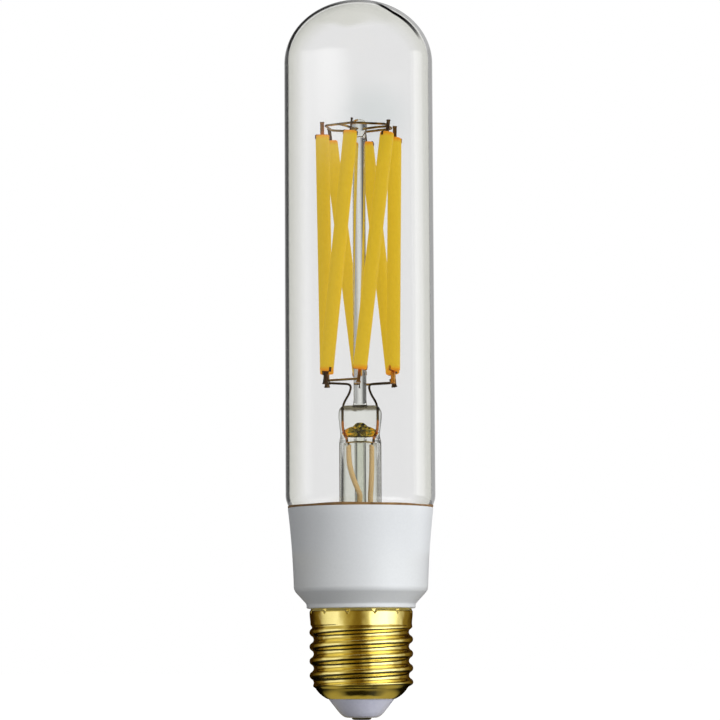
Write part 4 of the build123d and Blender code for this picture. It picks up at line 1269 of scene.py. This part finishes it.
line = addNode(tableTree, "ShaderNodeMapRange",
               {"Value": offLine.outputs[0], "From Min": mm(tableSizes["lineHalf"][0]),
                "From Max": mm(tableSizes["lineHalf"][1]), "To Min": 1.0, "To Max": 0.0})
turned = addNode(tableTree, "ShaderNodeTexGradient", {"Vector": tablePlace}, gradient_type="RADIAL")
fromFront = addNode(tableTree, "ShaderNodeMath", {0: turned.outputs["Fac"], 1: 0.5}, operation="SUBTRACT")
offFront = addNode(tableTree, "ShaderNodeMath", {0: fromFront.outputs[0]}, operation="ABSOLUTE")
front = addNode(tableTree, "ShaderNodeMapRange",
                {"Value": offFront.outputs[0], "From Min": tableSizes["lineTurn"][0],
                 "From Max": tableSizes["lineTurn"][1], "To Min": 1.0, "To Max": 0.0})
shade = addNode(tableTree, "ShaderNodeMath", {0: line.outputs[0], 1: front.outputs[0]}, operation="MULTIPLY")
lit = addNode(tableTree, "ShaderNodeMix",
              {0: shade.outputs[0], 2: close.outputs["Result"], 3: 0.01})  # a dark line in front
near = addNode(tableTree, "ShaderNodeEmission", {"Color": linear("#FFEA8A"), "Strength": lit.outputs[0]})
shine = addNode(tableTree, "ShaderNodeAddShader", {0: near.outputs[0], 1: far.outputs[0]})
addNode(tableTree, "ShaderNodeOutputMaterial", {"Surface": shine.outputs[0]})
clearSelection()
bpy.ops.mesh.primitive_circle_add(vertices=96, radius=mm(tableSizes["radius"]), fill_type="NGON",
                                  location=(0, 0, mm(tableSizes["height"])), rotation=(0, 0, -pi / 2))
tableCard = bpy.context.object
tableCard.name = "tableCard"
tableCard.data.materials.append(tableMaterial)
stageCard(tableCard, False)

hoodSizes = {  # millimetres, then angle to the right and level
    "wide": 60,
    "narrow": 20,
    "depth": 6,
    "middle": 39,
    "levels": [(-180, 0.02), (-125, 0.01), (-104, 0.08), (-84, 0.5), (-40, 0.55), (-20, 0.13), (0, 0.06),
               (14, 0.2), (28, 0.7), (50, 0.8), (70, 0.5), (88, 0.25), (110, 0.05), (135, 0.02), (180, 0.02)],
}
hoodMaterial, hoodTree, hoodPlace = newMaterial("hoodCard light")  # what the thread's upper flanks see
levels, brightest = turnLevels(hoodTree, hoodPlace, hoodSizes["levels"], True)
shine = addNode(hoodTree, "ShaderNodeEmission", {"Color": levels, "Strength": brightest})
passing = addNode(hoodTree, "ShaderNodeBsdfTransparent")
fromBelow = addNode(hoodTree, "ShaderNodeNewGeometry").outputs["Backfacing"]
oneSided = addNode(hoodTree, "ShaderNodeMixShader", {0: fromBelow, 1: passing.outputs[0], 2: shine.outputs[0]})
addNode(hoodTree, "ShaderNodeOutputMaterial", {"Surface": oneSided.outputs[0]})
clearSelection()
bpy.ops.mesh.primitive_cone_add(vertices=96, radius1=mm(hoodSizes["wide"]), radius2=mm(hoodSizes["narrow"]),
                                depth=mm(hoodSizes["depth"]), end_fill_type="NOTHING",
                                location=(0, 0, mm(hoodSizes["middle"])), rotation=(0, 0, -pi / 2))
hoodCard = bpy.context.object
hoodCard.name = "hoodCard"
hoodCard.data.materials.append(hoodMaterial)
stageCard(hoodCard, False)

for name, (turnTo, lift, distance, wide, tall, power) in studio["lamps"].items():
    data = bpy.data.lights.new(name, "AREA")
    data.shape = "RECTANGLE"
    data.size, data.size_y = wide, tall
    data.energy = power
    lamp = bpy.data.objects.new(name, data)
    scene.collection.objects.link(lamp)
    aim = Vector((0, 0, studio["lampAim"]))
    away = Vector((sin(radians(turnTo)) * cos(radians(lift)), -cos(radians(turnTo)) * cos(radians(lift)),
                   sin(radians(lift))))
    lamp.location = aim + away * distance
    lamp.rotation_euler = away.to_track_quat("Z", "Y").to_euler()
    lamp.visible_glossy = False
    lamp.visible_transmission = False


# Camera: a long lens from just above the floor, looking a little up

view = {
    "distance": 0.8,
    "aimHeight": 0.0915,
    "lookUp": 5.5,
    "roll": -0.30,
    "aside": 0.00005,
    "focalPixels": 3127,
    "imagePixels": 720,
    "sensor": 36.0,
}
cameraData = bpy.data.cameras.new("camera")
cameraData.sensor_width = view["sensor"]
cameraData.lens = view["sensor"] * view["focalPixels"] / view["imagePixels"]
cameraData.clip_start, cameraData.clip_end = 0.01, 20
camera = bpy.data.objects.new("camera", cameraData)
scene.collection.objects.link(camera)
up = radians(view["lookUp"])
camera.location = (view["aside"], -view["distance"] * cos(up), view["aimHeight"] - view["distance"] * sin(up))
camera.rotation_euler = (pi / 2 + up, 0, 0)
camera.rotation_euler.rotate_axis("Z", radians(view["roll"]))
scene.camera = camera
scene.view_settings.view_transform = "Standard"
scene.cycles.max_bounces = 24
scene.cycles.transparent_max_bounces = 32
scene.cycles.transmission_bounces = 20
scene.cycles.glossy_bounces = 8
print("studio and camera set")
